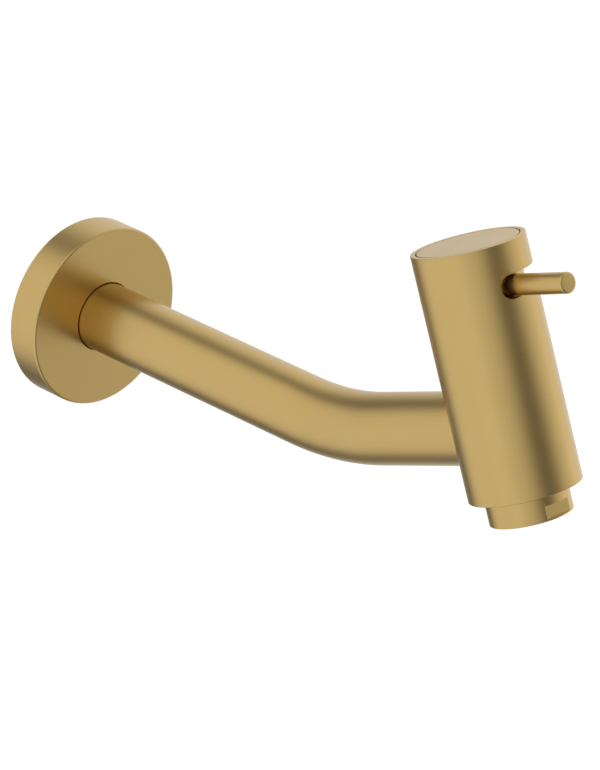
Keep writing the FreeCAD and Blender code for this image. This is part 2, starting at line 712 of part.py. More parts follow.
def make_tap_body():
    """The head: a turned bar, bored from the top for the valve and from below for the aerator."""
    piece = turned_piece("tap_body", "head", [
        ("body_radius", "body_bottom"),
        ("body_radius", "body_above_arm"),
        ("cap_seat_radius", "body_above_arm"),
        ("cap_seat_radius", "cap_seat_level"),
        ("hub_cavity_radius", "cap_seat_level"),
        ("hub_cavity_radius", "hub_floor"),
        ("socket_radius", "hub_floor"),
        ("socket_radius", "shoulder_level"),
        ("ring_seat_radius", "shoulder_level"),
        ("ring_seat_radius", "thread_top"),
        ("valve_bore_radius", "thread_top"),
        ("valve_bore_radius", "seat_level"),
        ("outlet_bore / 2", "seat_level"),
        ("outlet_bore / 2", "aerator_ceiling"),
        ("aerator_bore_radius", "aerator_ceiling"),
        ("aerator_bore_radius", "body_bottom"),
    ])
    ease(piece, "Fillet", "body_radius", "body_bottom", "body_bottom_round")
    ease(piece, "Fillet", "body_radius", "body_above_arm", "body_rim_round")
    arm_socket = new_sketch(piece, "arm_socket", "XZ_Plane", lift="-arm_socket_inset")
    draw_circle(arm_socket, "arm_socket_radius")
    pocket(piece, arm_socket)
    passage = new_sketch(piece, "arm_passage", "XZ_Plane")
    draw_circle(passage, "arm_passage_diameter / 2")
    pocket(piece, passage, "arm_socket_inset")
    cut_lever_slot(piece)


def cut_lever_slot(piece):
    """The long hole round the front of the body that the lever travels in, with round ends."""
    band = new_sketch(piece, "slot_band", "XZ_Plane", swing="slot_middle_angle - half_turn / 2")
    draw_box(band, "hub_radius", "lever_level - slot_half", "clear_of_body", "lever_level + slot_half")
    groove(piece, band, "slot_back_angle - slot_front_angle", both_ways=True)
    for place in ("front", "back"):
        end = new_sketch(piece, "slot_end_" + place, "XZ_Plane", swing="slot_%s_angle" % place)
        draw_circle(end, "slot_half", "0", "lever_level")
        pocket(piece, end, along_normal=True)


def make_cap():
    """The flush lid of the head, pushed in and held by its sealing ring."""
    ring = groove_corners("cap_skirt_radius", "cap_ring_floor", "cap_ring_level", "cap_ring_half")
    piece = turned_piece("top_cap", "head", [
        ("0", "cap_underside"),
        ("cap_skirt_inside", "cap_underside"),
        ("cap_skirt_inside", "cap_skirt_bottom"),
        ("cap_skirt_radius", "cap_skirt_bottom"),
        *ring,
        ("cap_skirt_radius", "cap_underside"),
        ("cap_radius", "cap_underside"),
        ("cap_radius", "body_above_arm"),
        ("0", "body_above_arm"),
    ])
    ease(piece, "Fillet", "cap_radius", "body_above_arm", "cap_edge_round")
    ring_piece("cap_ring", "head", "cap_ring_radius", "cap_ring_level", "cap_ring_cord")


def make_headwork_body():
    """The brass housing of the valve, with its windows, disc notches and the ribs that stop the spindle."""
    piece = turned_piece("headwork_body", "head", [
        ("chamber_radius", "headwork_bottom"),
        ("headwork_skirt_radius", "headwork_bottom"),
        ("headwork_skirt_radius", "thread_bottom"),
        ("headwork_thread_radius", "thread_bottom"),
        ("headwork_thread_radius", "thread_top"),
        ("headwork_waist_radius", "thread_top"),
        ("headwork_waist_radius", "shoulder_level"),
        ("headwork_flange_diameter / 2", "shoulder_level"),
        ("headwork_flange_diameter / 2", "headwork_flange_top"),
        ("headwork_neck_radius", "headwork_flange_top"),
        ("headwork_neck_radius", "headwork_top"),
        ("spindle_bore_radius", "headwork_top"),
        ("spindle_bore_radius", "chamber_top"),
        ("chamber_radius", "chamber_top"),
    ])
    hexagon = new_sketch(piece, "headwork_hexagon", "XY_Plane", lift="headwork_flange_top")
    draw_hexagon(hexagon, "headwork_hex_width")
    draw_circle(hexagon, "spindle_bore_radius")
    pad(piece, hexagon, "headwork_hex_height")
    corner_cut = new_sketch(piece, "headwork_corner_cut", "XZ_Plane")
    draw_outline(corner_cut, [
        ("headwork_hex_width / 2", "headwork_hex_top"),
        ("clear_of_hexagon", "headwork_hex_top - headwork_hex_chamfer"),
        ("clear_of_hexagon", "headwork_hex_top"),
    ])
    groove(piece, corner_cut)
    windows = new_sketch(piece, "headwork_windows", "YZ_Plane")
    draw_box(windows, "-window_width / 2", "window_bottom", "window_width / 2", "window_top")
    pocket(piece, windows, both_ways=True)
    notches = new_sketch(piece, "disc_notches", "XZ_Plane")
    notch_half = "disc_ear_width / 2 + 2 * seat_gap"
    draw_box(notches, "-(%s)" % notch_half, "seat_level", notch_half, "disc_face")
    pocket(piece, notches, both_ways=True)
    rib = new_sketch(piece, "stop_rib", "XY_Plane", lift="stop_bottom")
    rib_inside = "spindle_radius + stop_rib_gap"
    draw_sector(rib, rib_inside, "headwork_skirt_radius - disc_gap", "half_turn / 2", "stop_rib_angle / 2")
    repeat(piece, pad(piece, rib, "slip_washer_bottom - stop_bottom"), "Z_Axis", "2", True)


def make_headwork_seals():
    """The rubber seat under the discs, the ring under the flange and the washer above the foot."""
    turned_piece("seat_seal", "head", [
        ("seal_bore / 2", "seat_level + ring_gap"),
        ("seal_radius", "seat_level + ring_gap"),
        ("seal_radius", "fixed_disc_bottom - ring_gap"),
        ("seal_bore / 2 + seal_stand", "fixed_disc_bottom - ring_gap"),
        ("seal_bore / 2", "fixed_disc_bottom - seal_stand"),
    ])
    ring_piece("headwork_ring", "head", "headwork_ring_radius", "headwork_ring_level", "headwork_ring_cord")
    turned_piece("slip_washer", "head", [
        ("spindle_bore_radius", "slip_washer_bottom"),
        ("disc_radius", "slip_washer_bottom"),
        ("disc_radius", "slip_washer_top"),
        ("spindle_bore_radius", "slip_washer_top"),
    ])


def make_disc(label, bottom, thickness, port_middle):
    """A lapped ceramic disc with two ports, a quarter circle each less the sealing land."""
    piece = new_piece(label, "head")
    face = new_sketch(piece, label + "_face", "XY_Plane", lift=bottom)
    draw_circle(face, "disc_radius")
    pad(piece, face, thickness)
    port = new_sketch(piece, label + "_port", "XY_Plane", lift=bottom)
    draw_sector(port, "port_inner_radius", "port_outer_radius", port_middle, "port_angle / 2")
    repeat(piece, pocket(piece, port, along_normal=True), "Z_Axis", "2", False)
    return piece


def make_discs():
    """The fixed disc with its two ears, and the moving disc with the slot that the spindle drives."""
    fixed = make_disc("fixed_disc", "fixed_disc_bottom", "fixed_disc_thickness", "0")
    ear = new_sketch(fixed, "disc_ear", "XY_Plane", lift="fixed_disc_bottom")
    draw_box(ear, "-disc_ear_width / 2", "port_outer_radius", "disc_ear_width / 2", "ear_reach")
    repeat(fixed, pad(fixed, ear, "fixed_disc_thickness - ring_gap"), "Z_Axis", "2", True)
    moving = make_disc("moving_disc", "moving_disc_bottom", "moving_disc_thickness", "half_turn / 2")
    slot = new_sketch(moving, "disc_slot", "XY_Plane", lift="moving_disc_top")
    half_length = "spindle_dog_length / 2 + 2 * seat_gap"
    half_width = "spindle_dog_width / 2 + 2 * seat_gap"
    draw_box(slot, "-(%s)" % half_length, "-(%s)" % half_width, half_length, half_width)
    pocket(moving, slot, "spindle_dog_depth + seat_gap")


def make_spindle():
    """The valve's shaft: driving dog, stopped foot, two ring grooves, clip groove and splined end."""
    rings = []
    for place in ("low", "high"):
        level = "spindle_ring_%s_level" % place
        rings += groove_corners("spindle_radius", "spindle_ring_floor", level, "spindle_ring_half")
    piece = turned_piece("spindle", "head", [
        ("0", "foot_bottom"),
        ("spindle_radius", "foot_bottom"),
        *rings,
        ("spindle_radius", "clip_bottom - seat_gap"),
        ("clip_floor", "clip_bottom - seat_gap"),
        ("clip_floor", "clip_top + seat_gap"),
        ("spindle_radius", "clip_top + seat_gap"),
        ("spindle_radius", "hub_bottom"),
        ("spline_radius", "hub_bottom"),
        ("spline_radius", "spindle_top"),
        ("hub_screw_radius + thread_gap", "spindle_top"),
        ("hub_screw_radius + thread_gap", "hub_screw_end - hub_screw_diameter"),
        ("0", "hub_screw_end - hub_screw_diameter"),
    ])
    dog = new_sketch(piece, "spindle_dog", "XY_Plane", lift="foot_bottom")
    half_length = "spindle_dog_length / 2"
    half_width = "spindle_dog_width / 2"
    draw_box(dog, "-" + half_length, "-" + half_width, half_length, half_width)
    pad(piece, dog, "spindle_dog_depth", down=True)
    lobe = new_sketch(piece, "spindle_lobe", "XY_Plane", lift="stop_bottom")
    draw_sector(lobe, "spindle_radius - stop_rib_gap", "foot_radius", "lobe_rest_angle", "lobe_half_angle")
    repeat(piece, pad(piece, lobe, "foot_top - stop_bottom"), "Z_Axis", "2", True)
    tooth_gap = new_sketch(piece, "spline_gap_profile", "XY_Plane", lift="spindle_top")
    mouth = "(spline_depth + spline_gap) * tan(spline_angle / 2)"
    draw_outline(tooth_gap, [
        ("spline_radius - spline_depth", "0"),
        ("spline_bore_radius", "-(%s)" % mouth),
        ("spline_bore_radius", mouth),
    ])
    repeat(piece, pocket(piece, tooth_gap, "spindle_top - hub_bottom"), "Z_Axis", "spline_teeth", False)
    for place in ("low", "high"):
        level = "spindle_ring_%s_level" % place
        ring_piece("spindle_ring_" + place, "head", "spindle_ring_radius", level, "spindle_ring_cord")


def make_spindle_clip():
    """The open spring clip that keeps the spindle from dropping back into the valve."""
    piece = new_piece("spindle_clip", "head")
    section = new_sketch(piece, "clip_section", "XZ_Plane")
    draw_box(section, "clip_inside", "clip_bottom", "clip_outside", "clip_top")
    turn(piece, section, "clip_arc")


def make_lever_hub():
    """The round block that turns inside the head, broached for the spindle and bored for the lever."""
    piece = turned_piece("lever_hub", "head", [
        ("spline_bore_radius", "hub_bottom"),
        ("hub_radius", "hub_bottom"),
        ("hub_radius", "hub_top"),
        ("hub_screw_head_radius + hub_screw_gap", "hub_top"),
        ("hub_screw_head_radius + hub_screw_gap", "hub_screw_seat"),
        ("spline_bore_radius", "hub_screw_seat"),
    ])
    ease(piece, "Chamfer", "hub_radius", "hub_top", "hub_edge_chamfer")
    ease(piece, "Chamfer", "hub_radius", "hub_bottom", "hub_edge_chamfer")
    tooth = new_sketch(piece, "hub_tooth", "XY_Plane", lift="hub_bottom")
    root = "(spline_depth + spline_gap) * tan(spline_angle / 2)"
    draw_outline(tooth, [
        ("spline_radius - spline_depth + spline_tip_gap", "0"),
        ("spline_bore_radius + spline_gap", "-(%s)" % root),
        ("spline_bore_radius + spline_gap", root),
    ])
    repeat(piece, pad(piece, tooth, "hub_screw_seat - hub_bottom"), "Z_Axis", "spline_teeth", True)
    seat = new_sketch(piece, "lever_seat", "XZ_Plane", lift="lever_seat")
    draw_circle(seat, "lever_radius + seat_gap", "0", "lever_level")
    pocket(piece, seat, along_normal=True)
    stud_hole = new_sketch(piece, "lever_stud_hole", "XZ_Plane", lift="lever_stud_end - seat_gap")
    draw_circle(stud_hole, "lever_stud_radius + thread_gap", "0", "lever_level")
    pocket(piece, stud_hole, "lever_stud_length + 2 * seat_gap", along_normal=True)


def make_lever_pin():
    """The lever: a straight round pin with a threaded stud, square to the head."""
    piece = new_piece("lever_pin", "head")
    half = new_sketch(piece, "lever_half", "XY_Plane", lift="lever_level")
    draw_outline(half, [
        ("0", "-lever_stud_end"),
        ("lever_stud_radius", "-lever_stud_end"),
        ("lever_stud_radius", "-(lever_seat + seat_gap)"),
        ("lever_radius", "-(lever_seat + seat_gap)"),
        ("lever_radius", "-(lever_reach)"),
        ("0", "-(lever_reach)"),
    ])
    turn(piece, half)
    tip = V(0, -number("lever_reach"), number("lever_level"))
    ease(piece, "Fillet", "lever_radius", tip, "lever_tip_round")


def make_hub_screw():
    """The cap screw that clamps the hub on the spindle, under the lid."""
    piece = turned_piece("hub_screw", "head", [
        ("0", "hub_screw_end"),
        ("hub_screw_radius", "hub_screw_end"),
        ("hub_screw_radius", "hub_screw_head_bottom"),
        ("hub_screw_head_radius", "hub_screw_head_bottom"),
        ("hub_screw_head_radius", "hub_screw_head_bottom + hub_screw_head_height"),
        ("0", "hub_screw_head_bottom + hub_screw_head_height"),
    ])
    key = new_sketch(piece, "hub_screw_key", "XY_Plane", lift="hub_screw_head_bottom + hub_screw_head_height")
    draw_hexagon(key, "hub_screw_key_width")
    pocket(piece, key, "hub_screw_key_depth")


def make_aerator_housing():
    """The threaded collar below the head, with two spanner flats just above its lower rim."""
    piece = turned_piece("aerator_housing", "head", [
        ("aerator_mouth", "aerator_bottom"),
        ("aerator_radius", "aerator_bottom"),
        ("aerator_radius", "aerator_collar_top"),
        ("aerator_neck_radius", "aerator_collar_top"),
        ("aerator_neck_radius", "aerator_neck_top"),
        ("aerator_inside", "aerator_neck_top"),
        ("aerator_inside", "aerator_lip_top"),
        ("aerator_mouth", "aerator_lip_top"),
    ])
    ease(piece, "Fillet", "aerator_radius", "aerator_bottom", "aerator_edge_round")
    flat = new_sketch(piece, "aerator_flat", "XY_Plane", lift="aerator_flat_bottom")
    draw_box(flat, "-clear_of_aerator", "aerator_flat_width / 2", "clear_of_aerator", "clear_of_aerator")
    cut = pocket(piece, flat, "aerator_flat_height", along_normal=True)
    repeat(piece, cut, "Z_Axis", "2", False)


def make_aerator_inside():
    """The washer, the sieve and the jet former that the aerator's housing holds."""
    turned_piece("aerator_washer", "head", [
        ("aerator_washer_bore / 2", "aerator_neck_top + ring_gap"),
        ("aerator_neck_radius - seat_gap", "aerator_neck_top + ring_gap"),
        ("aerator_neck_radius - seat_gap", "aerator_ceiling - ring_gap"),
        ("aerator_washer_bore / 2", "aerator_ceiling - ring_gap"),
    ])
    screen = turned_piece("aerator_screen", "head", [
        ("0", "screen_bottom"),
        ("insert_radius", "screen_bottom"),
        ("insert_radius", "screen_top"),
        ("0", "screen_top"),
    ])
    for ring in (1, 2, 3):
        hole = new_sketch(screen, "sieve_hole_%d" % ring, "XY_Plane", lift="screen_top")
        draw_circle(hole, "screen_hole_diameter / 2", "%d * screen_hole_pitch" % ring, "0")
        repeat(screen, pocket(screen, hole), "Z_Axis", "%d * screen_holes" % ring, False)
    insert = turned_piece("aerator_insert", "head", [
        ("insert_inside", "insert_bottom"),
        ("insert_radius", "insert_bottom"),
        ("insert_radius", "insert_top"),
        ("insert_inside", "insert_top"),
        ("insert_inside", "insert_plate_top"),
        ("0", "insert_plate_top"),
        ("0", "insert_plate_bottom"),
        ("insert_inside", "insert_plate_bottom"),
    ])
    rib = new_sketch(insert, "jet_rib", "XY_Plane", lift="insert_bottom")
    rib_half = "insert_ring_wall / 2"
    draw_box(rib, "insert_ring_pitch / 2", "-" + rib_half, "insert_inside + insert_wall / 2", rib_half)
    repeat(insert, pad(insert, rib, "insert_grid_height"), "Z_Axis", "insert_ribs", True)
    for ring in (1, 2, 3):
        wall = new_sketch(insert, "jet_ring_%d" % ring, "XY_Plane", lift="insert_bottom")
        middle = "(%d - 0.5) * insert_ring_pitch" % ring
        draw_circle(wall, "%s + %s" % (middle, rib_half))
        draw_circle(wall, "%s - %s" % (middle, rib_half))
        pad(insert, wall, "insert_grid_height")
    jet = new_sketch(insert, "jet_hole", "XY_Plane", lift="insert_plate_top")
    draw_circle(jet, "screen_hole_diameter / 2", "2 * insert_ring_pitch", "0")
    repeat(insert, pocket(insert, jet, "insert_plate_thickness"), "Z_Axis", "insert_ribs", False)


def write_pieces():
    """Checks every object of the document and writes one file for each piece."""
    doc.recompute()
    for item in doc.Objects:
        if "Invalid" in item.State or "Error" in item.State:
            raise RuntimeError("%s did not compute: %s" % (item.Name, item.State))
    os.makedirs("parts", exist_ok=True)
    for piece in pieces:
        shape = piece.Shape
        if shape.isNull() or not shape.isValid() or len(shape.Solids) != 1:
            raise RuntimeError("%s is not one sound solid" % piece.Label)
    for piece in pieces:
        piece.Shape.exportStep("parts/%s.step" % piece.Label)


make_wall_flange()
make_flange_seals()
make_wall_nipple()
make_grub_screw()
make_spout_tube()
make_tap_body()
make_cap()
make_headwork_body()
make_headwork_seals()
make_discs()
make_spindle()
make_spindle_clip()
make_lever_hub()
make_lever_pin()
make_hub_screw()
make_aerator_housing()
make_aerator_inside()
write_pieces()
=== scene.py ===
import functools
import json
import math

import bmesh
import bpy
from bpy.props import FloatProperty, FloatVectorProperty, IntProperty, PointerProperty
from bpy.types import Operator, Panel, PropertyGroup
from mathutils import Matrix, Vector


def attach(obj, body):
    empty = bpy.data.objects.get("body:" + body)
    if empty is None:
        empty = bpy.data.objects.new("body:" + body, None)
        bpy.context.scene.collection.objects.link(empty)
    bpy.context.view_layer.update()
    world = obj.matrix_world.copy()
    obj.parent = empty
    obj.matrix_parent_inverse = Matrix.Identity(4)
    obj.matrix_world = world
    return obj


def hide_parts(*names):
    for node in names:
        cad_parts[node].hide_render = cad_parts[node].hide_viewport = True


bl_info = {
    "name": "Wall basin tap",
    "version": (1, 0, 0),
    "blender": (4, 5, 0),
    "location": "View3D > Sidebar > Tap",
    "description": "Dresses the packed model of a wall-mounted basin tap in satin gold",
    "category": "Add Mesh",
}

# Metres. X runs along the wall, -Y out of the wall, +Z up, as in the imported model.
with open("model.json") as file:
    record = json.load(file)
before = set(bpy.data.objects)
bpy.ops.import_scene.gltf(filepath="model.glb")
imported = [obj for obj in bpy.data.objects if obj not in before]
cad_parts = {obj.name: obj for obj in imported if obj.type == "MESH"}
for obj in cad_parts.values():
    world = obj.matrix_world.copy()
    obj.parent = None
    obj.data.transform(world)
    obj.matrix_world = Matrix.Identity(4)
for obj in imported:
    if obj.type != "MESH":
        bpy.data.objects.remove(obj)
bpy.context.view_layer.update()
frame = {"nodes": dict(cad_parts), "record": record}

MM = 0.001
QUARTER_TURN = math.radians(90)
ROUND_STEPS = 10  # steps round an edge
SMOOTH_ANGLE = math.radians(30)  # edges that bend more than this stay sharp
OVERLAP = 0.5 * MM  # how far a cutting shape reaches past the piece that it cuts
HAIRLINE = 0.05 * MM  # gap that keeps two faces from lying in each other

# Points that lie closer than this are one: in a made mesh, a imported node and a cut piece.
SAME_PLACE = 0.0001 * MM
SAME_CORNER = 0.001 * MM
SAME_POINT = 0.002 * MM

NOISE_RANGE = (0.3, 0.7)  # where most of a noise's values lie
SLOT_LIP_STEPS = 6
SLOT_END_STEPS = 32
SLOT_LONG_STEPS = 96


def length(name, default, about):
    """A size in metres."""
    return FloatProperty(name=name, description=about, default=default, min=0.0, unit="LENGTH",
                         precision=5)


def angle(name, degrees, about):
    """An angle, given in degrees and kept in radians."""
    return FloatProperty(name=name, description=about, default=math.radians(degrees),
                         unit="ROTATION")


def colour(name, default, about):
    """A colour of a finish."""
    return FloatVectorProperty(name=name, description=about, default=default, min=0.0, max=1.0,
                               size=3, subtype="COLOR")


def factor(name, default, about, low=0.0, high=1.0):
    """A plain number without a unit."""
    return FloatProperty(name=name, description=about, default=default, min=low, max=high)


def whole(name, default, about, low):
    """A whole number."""
    return IntProperty(name=name, description=about, default=default, min=low)


class ArmSizes(PropertyGroup):
    """The bent tube between the flange and the head."""

    diameter: length("Tube diameter", 24.5 * MM, "Outside of the tube")
    wall: length("Tube wall", 2 * MM, "Thickness of the tube's wall")
    start: length("Start", 4.5 * MM, "Distance of the tube's back end from the wall")
    run: length("Run", 134 * MM, "From the wall to the corner of the bend")
    reach: length("Reach", 82 * MM, "From the corner of the bend to the head's axis")
    socket: length("Socket", 13.05 * MM, "Distance of the tube's front end from the head's axis")
    bend: angle("Bend", 20, "How far the outer leg rises")
    bend_radius: length("Bend radius", 113 * MM, "Radius of the bend at the tube's centre line")
    bend_steps: whole("Bend steps", 40, "Steps along the bend", 4)
    sides: whole("Sides", 160, "Sides round the tube", 16)


class FlangeSizes(PropertyGroup):
    """The round plate against the wall."""

    diameter: length("Diameter", 65 * MM, "Outside of the flange")
    thickness: length("Thickness", 12.8 * MM, "From the wall to the flange's face")
    rim_wall: length("Rim wall", 4 * MM, "Thickness of the rim")
    face_wall: length("Face wall", 2.3 * MM, "Thickness of the face")
    boss_wall: length("Boss wall", 5.5 * MM, "Thickness of the boss round the tube")
    bore_gap: length("Bore gap", 0.25 * MM, "Gap between the boss and the tube")
    front_round: length("Front round", 0.8 * MM, "Round of the face's outer edge")
    fine_round: length("Fine round", 0.2 * MM, "Round of the other edges")
    seal_width: length("Seal width", 2 * MM, "Width of the groove for the wall seal")
    seal_depth: length("Seal depth", 1.5 * MM, "Depth of the groove for the wall seal")
    seal_inset: length("Seal inset", 0.9 * MM, "Distance of the groove from the rim's edge")
    ring_lip: length("Ring lip", 0.8 * MM, "Metal in front of the ring on the tube")
    ring_width: length("Ring width", 1.9 * MM, "Width of the groove for the ring on the tube")
    ring_depth: length("Ring depth", 1.39 * MM, "Depth of the groove for the ring on the tube")
    key_diameter: length("Key hole", 5.1 * MM, "Hole for the grub screw and its key")
    key_level: length("Key hole level", 7.2 * MM, "Distance of the hole from the wall")


class InletSizes(PropertyGroup):
    """The nipple that screws into the wall."""

    crest: length("Crest diameter", 20.955 * MM, "Outside of the pipe thread")
    depth: length("Thread depth", 1.162 * MM, "From crest to root")
    pitch: length("Pitch", 1.814 * MM, "Distance from one thread to the next")
    thread: length("Thread length", 15 * MM, "Length of the thread behind the wall")
    thread_foot: factor("Thread foot", 0.94, "Width of the ridge at its foot, in pitches")
    thread_crest: factor("Thread crest", 0.16, "Width of the ridge at its crest, in pitches")
    thread_steps: whole("Thread steps", 72, "Steps in each turn of the thread", 12)
    chamfer: length("Chamfer", 1 * MM, "Chamfer at the thread's start")
    collar_width: length("Collar width", 24 * MM, "Hexagon against the wall, across its flats")
    collar: length("Collar", 4 * MM, "Thickness of the hexagon")
    bore: length("Bore", 11.5 * MM, "Bore of the nipple")
    spigot_diameter: length("Spigot diameter", 20.3 * MM, "The part inside the tube")
    spigot: length("Spigot", 22 * MM, "Length of the part inside the tube")
    catch_width: length("Catch width", 5.1 * MM, "Width of the grub screw's groove")
    catch_depth: length("Catch depth", 0.9 * MM, "Depth of the grub screw's groove")
    ring_width: length("Ring width", 2.1 * MM, "Width of the ring grooves")
    ring_depth: length("Ring depth", 1.74 * MM, "Depth of the ring grooves")
    ring_front: length("Front ring", 22.5 * MM, "Distance of the front ring from the wall")
    ring_back: length("Back ring", 16.5 * MM, "Distance of the back ring from the wall")
    key_width: length("Key width", 12 * MM, "Hexagon for the fitting key, across its flats")
    key_depth: length("Key depth", 8 * MM, "Depth of the hexagon for the fitting key")
    fine_round: length("Fine round", 0.3 * MM, "Round of the hexagon's edges and the spigot's end")


class HeadSizes(PropertyGroup):
    """The leaning cylinder that holds the valve, and its lid."""

    diameter: length("Diameter", 38 * MM, "Outside of the head")
    above: length("Above the arm", 62.4 * MM, "From the arm's axis to the top")
    below: length("Below the arm", 20.7 * MM, "From the arm's axis to the bottom")
    bottom_round: length("Bottom round", 0.25 * MM, "Round of the lower edge")
    rim_round: length("Rim round", 0.2 * MM, "Round of the upper edge")
    fine_round: length("Fine round", 0.15 * MM, "Round of the edges inside the rim and the mouth")
    rim: length("Rim", 1.7 * MM, "Width of the rim round the lid")
    inner_wall: length("Inner wall", 2.4 * MM, "Wall round the turning block")
    lid: length("Lid", 3.5 * MM, "Thickness of the lid")
    lid_gap: length("Lid gap", 0.35 * MM, "Gap round the lid")
    lid_round: length("Lid round", 0.2 * MM, "Round of the lid's edge")
    skirt: length("Skirt", 3 * MM, "Depth and thickness of the lid's skirt")
    lid_groove: length("Lid groove", 1.8 * MM, "Width of the groove for the lid's ring")
    lid_groove_depth: length("Lid groove depth", 1.24 * MM, "Depth of that groove")
    floor: length("Floor", 36.5 * MM, "Height of the floor under the turning block")
    well: length("Well", 29.113 * MM, "Bore round the valve's hexagon")
    well_floor: length("Well floor", 16 * MM, "Height of the shoulder that the valve seats on")
    ring_seat: length("Ring seat", 23.28 * MM, "Bore round the valve's ring")
    ring_seat_depth: length("Ring seat depth", 2.2 * MM, "Depth of that bore")
    mouth: length("Mouth", 24.1 * MM, "Bore for the aerator")
    mouth_depth: length("Mouth depth", 8.5 * MM, "Depth of the bore for the aerator")
    valve_bore: length("Valve bore", 21.055 * MM, "Bore for the valve")
    valve_seat: length("Valve seat", 8 * MM, "Depth of the valve's seat below the arm's axis")
    outlet: length("Outlet", 12 * MM, "Bore between the seat and the aerator")
    socket: length("Socket", 24.6 * MM, "Bore for the arm")
    passage: length("Passage", 14 * MM, "Bore for the water from the arm to the valve")


class LeverSizes(PropertyGroup):
    """The lever and the slot that it moves in."""

    diameter: length("Diameter", 7 * MM, "Diameter of the lever")
    reach: length("Reach", 42.2 * MM, "From the head's axis to the lever's tip")
    drop: length("Drop", 14.4 * MM, "From the head's top to the lever's axis")
    tip_round: length("Tip round", 0.7 * MM, "Round of the lever's tip")
    seat: length("Seat", 10.7 * MM, "Distance of the lever's shoulder from the head's axis")
    stud: length("Stud", 5 * MM, "Diameter of the stud in the turning block")
    stud_end: length("Stud end", 5.35 * MM, "Distance of the stud's end from the axis")
    slot_height: length("Slot height", 7.7 * MM, "Height of the slot")
    slot_lip: length("Slot lip", 0.25 * MM, "Round of the slot's outer edge")
    block: length("Block", 31 * MM, "Diameter of the turning block behind the slot")
    block_inside: length("Block inside", 12.7 * MM, "Radius that the block is widened from")
    block_low: length("Block foot", 41.55 * MM, "Height of the block's side at its foot")
    block_high: length("Block top", 54.45 * MM, "Height of the block's side at its top")
    block_round: length("Block round", 0.3 * MM, "Round of the block's edges")
    block_gap: length("Block gap", 0.1 * MM, "Gap between the lever and the block's side")
    travel: angle("Travel", 90, "How far the lever turns")
    spare: angle("Spare", 8, "Room left in the slot past each end of the travel")


class AeratorSizes(PropertyGroup):
    """The collar under the head."""

    diameter: length("Diameter", 28 * MM, "Outside of the collar")
    drop: length("Drop", 9 * MM, "Height of the collar below the head")
    neck: length("Neck", 24 * MM, "Diameter of the thread inside the head")
    neck_height: length("Neck height", 7.5 * MM, "Length of the thread inside the head")
    wall: length("Wall", 1 * MM, "Wall round the jet former")
    lip: length("Lip", 0.6 * MM, "Lip under the jet former")
    lip_height: length("Lip height", 1.4 * MM, "Height of the lip")
    flat_width: length("Flats", 26 * MM, "Distance from one spanner flat to the other")
    flat_rise: length("Flat rise", 0.5 * MM, "Height of the full rim below the spanner flats")
    flat_height: length("Flat height", 4.5 * MM, "Height of the spanner flats")
    edge_round: length("Edge round", 0.25 * MM, "Round of the lower edge")
    mouth_round: length("Mouth round", 0.2 * MM, "Round of the lip's lower edge")
    top_round: length("Top round", 0.1 * MM, "Round of the upper edge")
    seam: length("Seam", 0.05 * MM, "Gap between the head and the collar")


class FinishColours(PropertyGroup):
    """Colours and gloss of the tap's finishes."""

    gold: colour("Gold", (0.58, 0.41, 0.157), "Satin gold coating")
    gold_deep: colour("Deep gold", (0.56, 0.393, 0.148), "The same coating where it is thicker")
    gold_gloss: factor("Gold roughness", 0.30, "Roughness of the satin gold")
    gold_lines: factor("Gold lines", 0.02, "How much the fine lines change the roughness")
    brass: colour("Brass", (0.62, 0.46, 0.20), "Machined brass of the hidden fittings")
    steel: colour("Steel", (0.55, 0.55, 0.54), "Stainless steel screws, clip and sieve")
    rubber: colour("Rubber", (0.018, 0.018, 0.018), "Seals and rings")
    ceramic: colour("Ceramic", (0.82, 0.81, 0.77), "Valve discs")
    plastic: colour("Plastic", (0.62, 0.62, 0.60), "Jet former and slip washer")


class StageSettings(PropertyGroup):
    """Floor, surroundings, lamps, hoop and camera."""

    floor_drop: length("Floor drop", 1.7, "Depth of the floor below the inlet")
    floor_colour: colour("Floor colour", (0.80, 0.80, 0.80), "Plain pale floor")
    floor_reach: length("Floor reach", 20, "Half the floor's width")
    floor_lift: factor("Floor lift", 0.52, "Light that the camera sees the floor give", 0.0, 2.0)
    world_light: factor("World light", 0.80, "Light of the surroundings", 0.0, 2.0)
    lamp_light: factor("Lamp light", 1.0, "Brightness of the lamps' faces", 0.0, 4.0)
    hoop_radius: length("Hoop radius", 1.6, "Distance of the hoop from the tap")
    hoop_length: factor("Hoop length", 4.0, "Half the hoop's length, in radii", 1.0, 10.0)
    hoop_light: factor("Hoop light", 1.08, "Brightness of the hoop beside the band", 0.0, 2.0)
    hoop_steps: whole("Hoop steps", 96, "Sides round the hoop", 24)
    band_tilt: factor("Band tilt", 0.07, "Lean of the dark band as it rises", -1.0, 1.0)
    top_taper: factor("Top taper", 2.1, "Times that the band is narrower at its top", 1.0, 10.0)
    low_taper: factor("Low taper", 1.25, "Times that the band is narrower at its foot", 1.0, 10.0)
    top_fade: factor("Top fade", 0.75, "How much of the dark band is left at its top")
    low_fade: factor("Low fade", 0.88, "How much of the dark band is left at its foot")
    front_lift: factor("Front lift", 1.10, "Times that the hoop is brighter low in front", 0.0, 2.0)
    camera_azimuth: angle("Camera azimuth", -43.5994, "Turn of the camera round the tap")
    camera_elevation: angle("Camera elevation", 25.9012, "Height of the camera above the horizon")
    camera_roll: angle("Camera roll", 0.2602, "Turn of the camera about its own line of sight")
    camera_distance: length("Camera distance", 1.67416, "From the aim to the camera")
    camera_aim: FloatVectorProperty(name="Camera aim", description="Point that the camera looks at",
                                    default=(0.00321, -0.10885, 0.00627), subtype="TRANSLATION")
    camera_lens: factor("Camera lens", 231.483, "Focal length in millimetres", 1.0, 2000.0)


# Y of the hoop's middle line, out of the wall beside the arm.
HOOP_DEPTH = -0.12

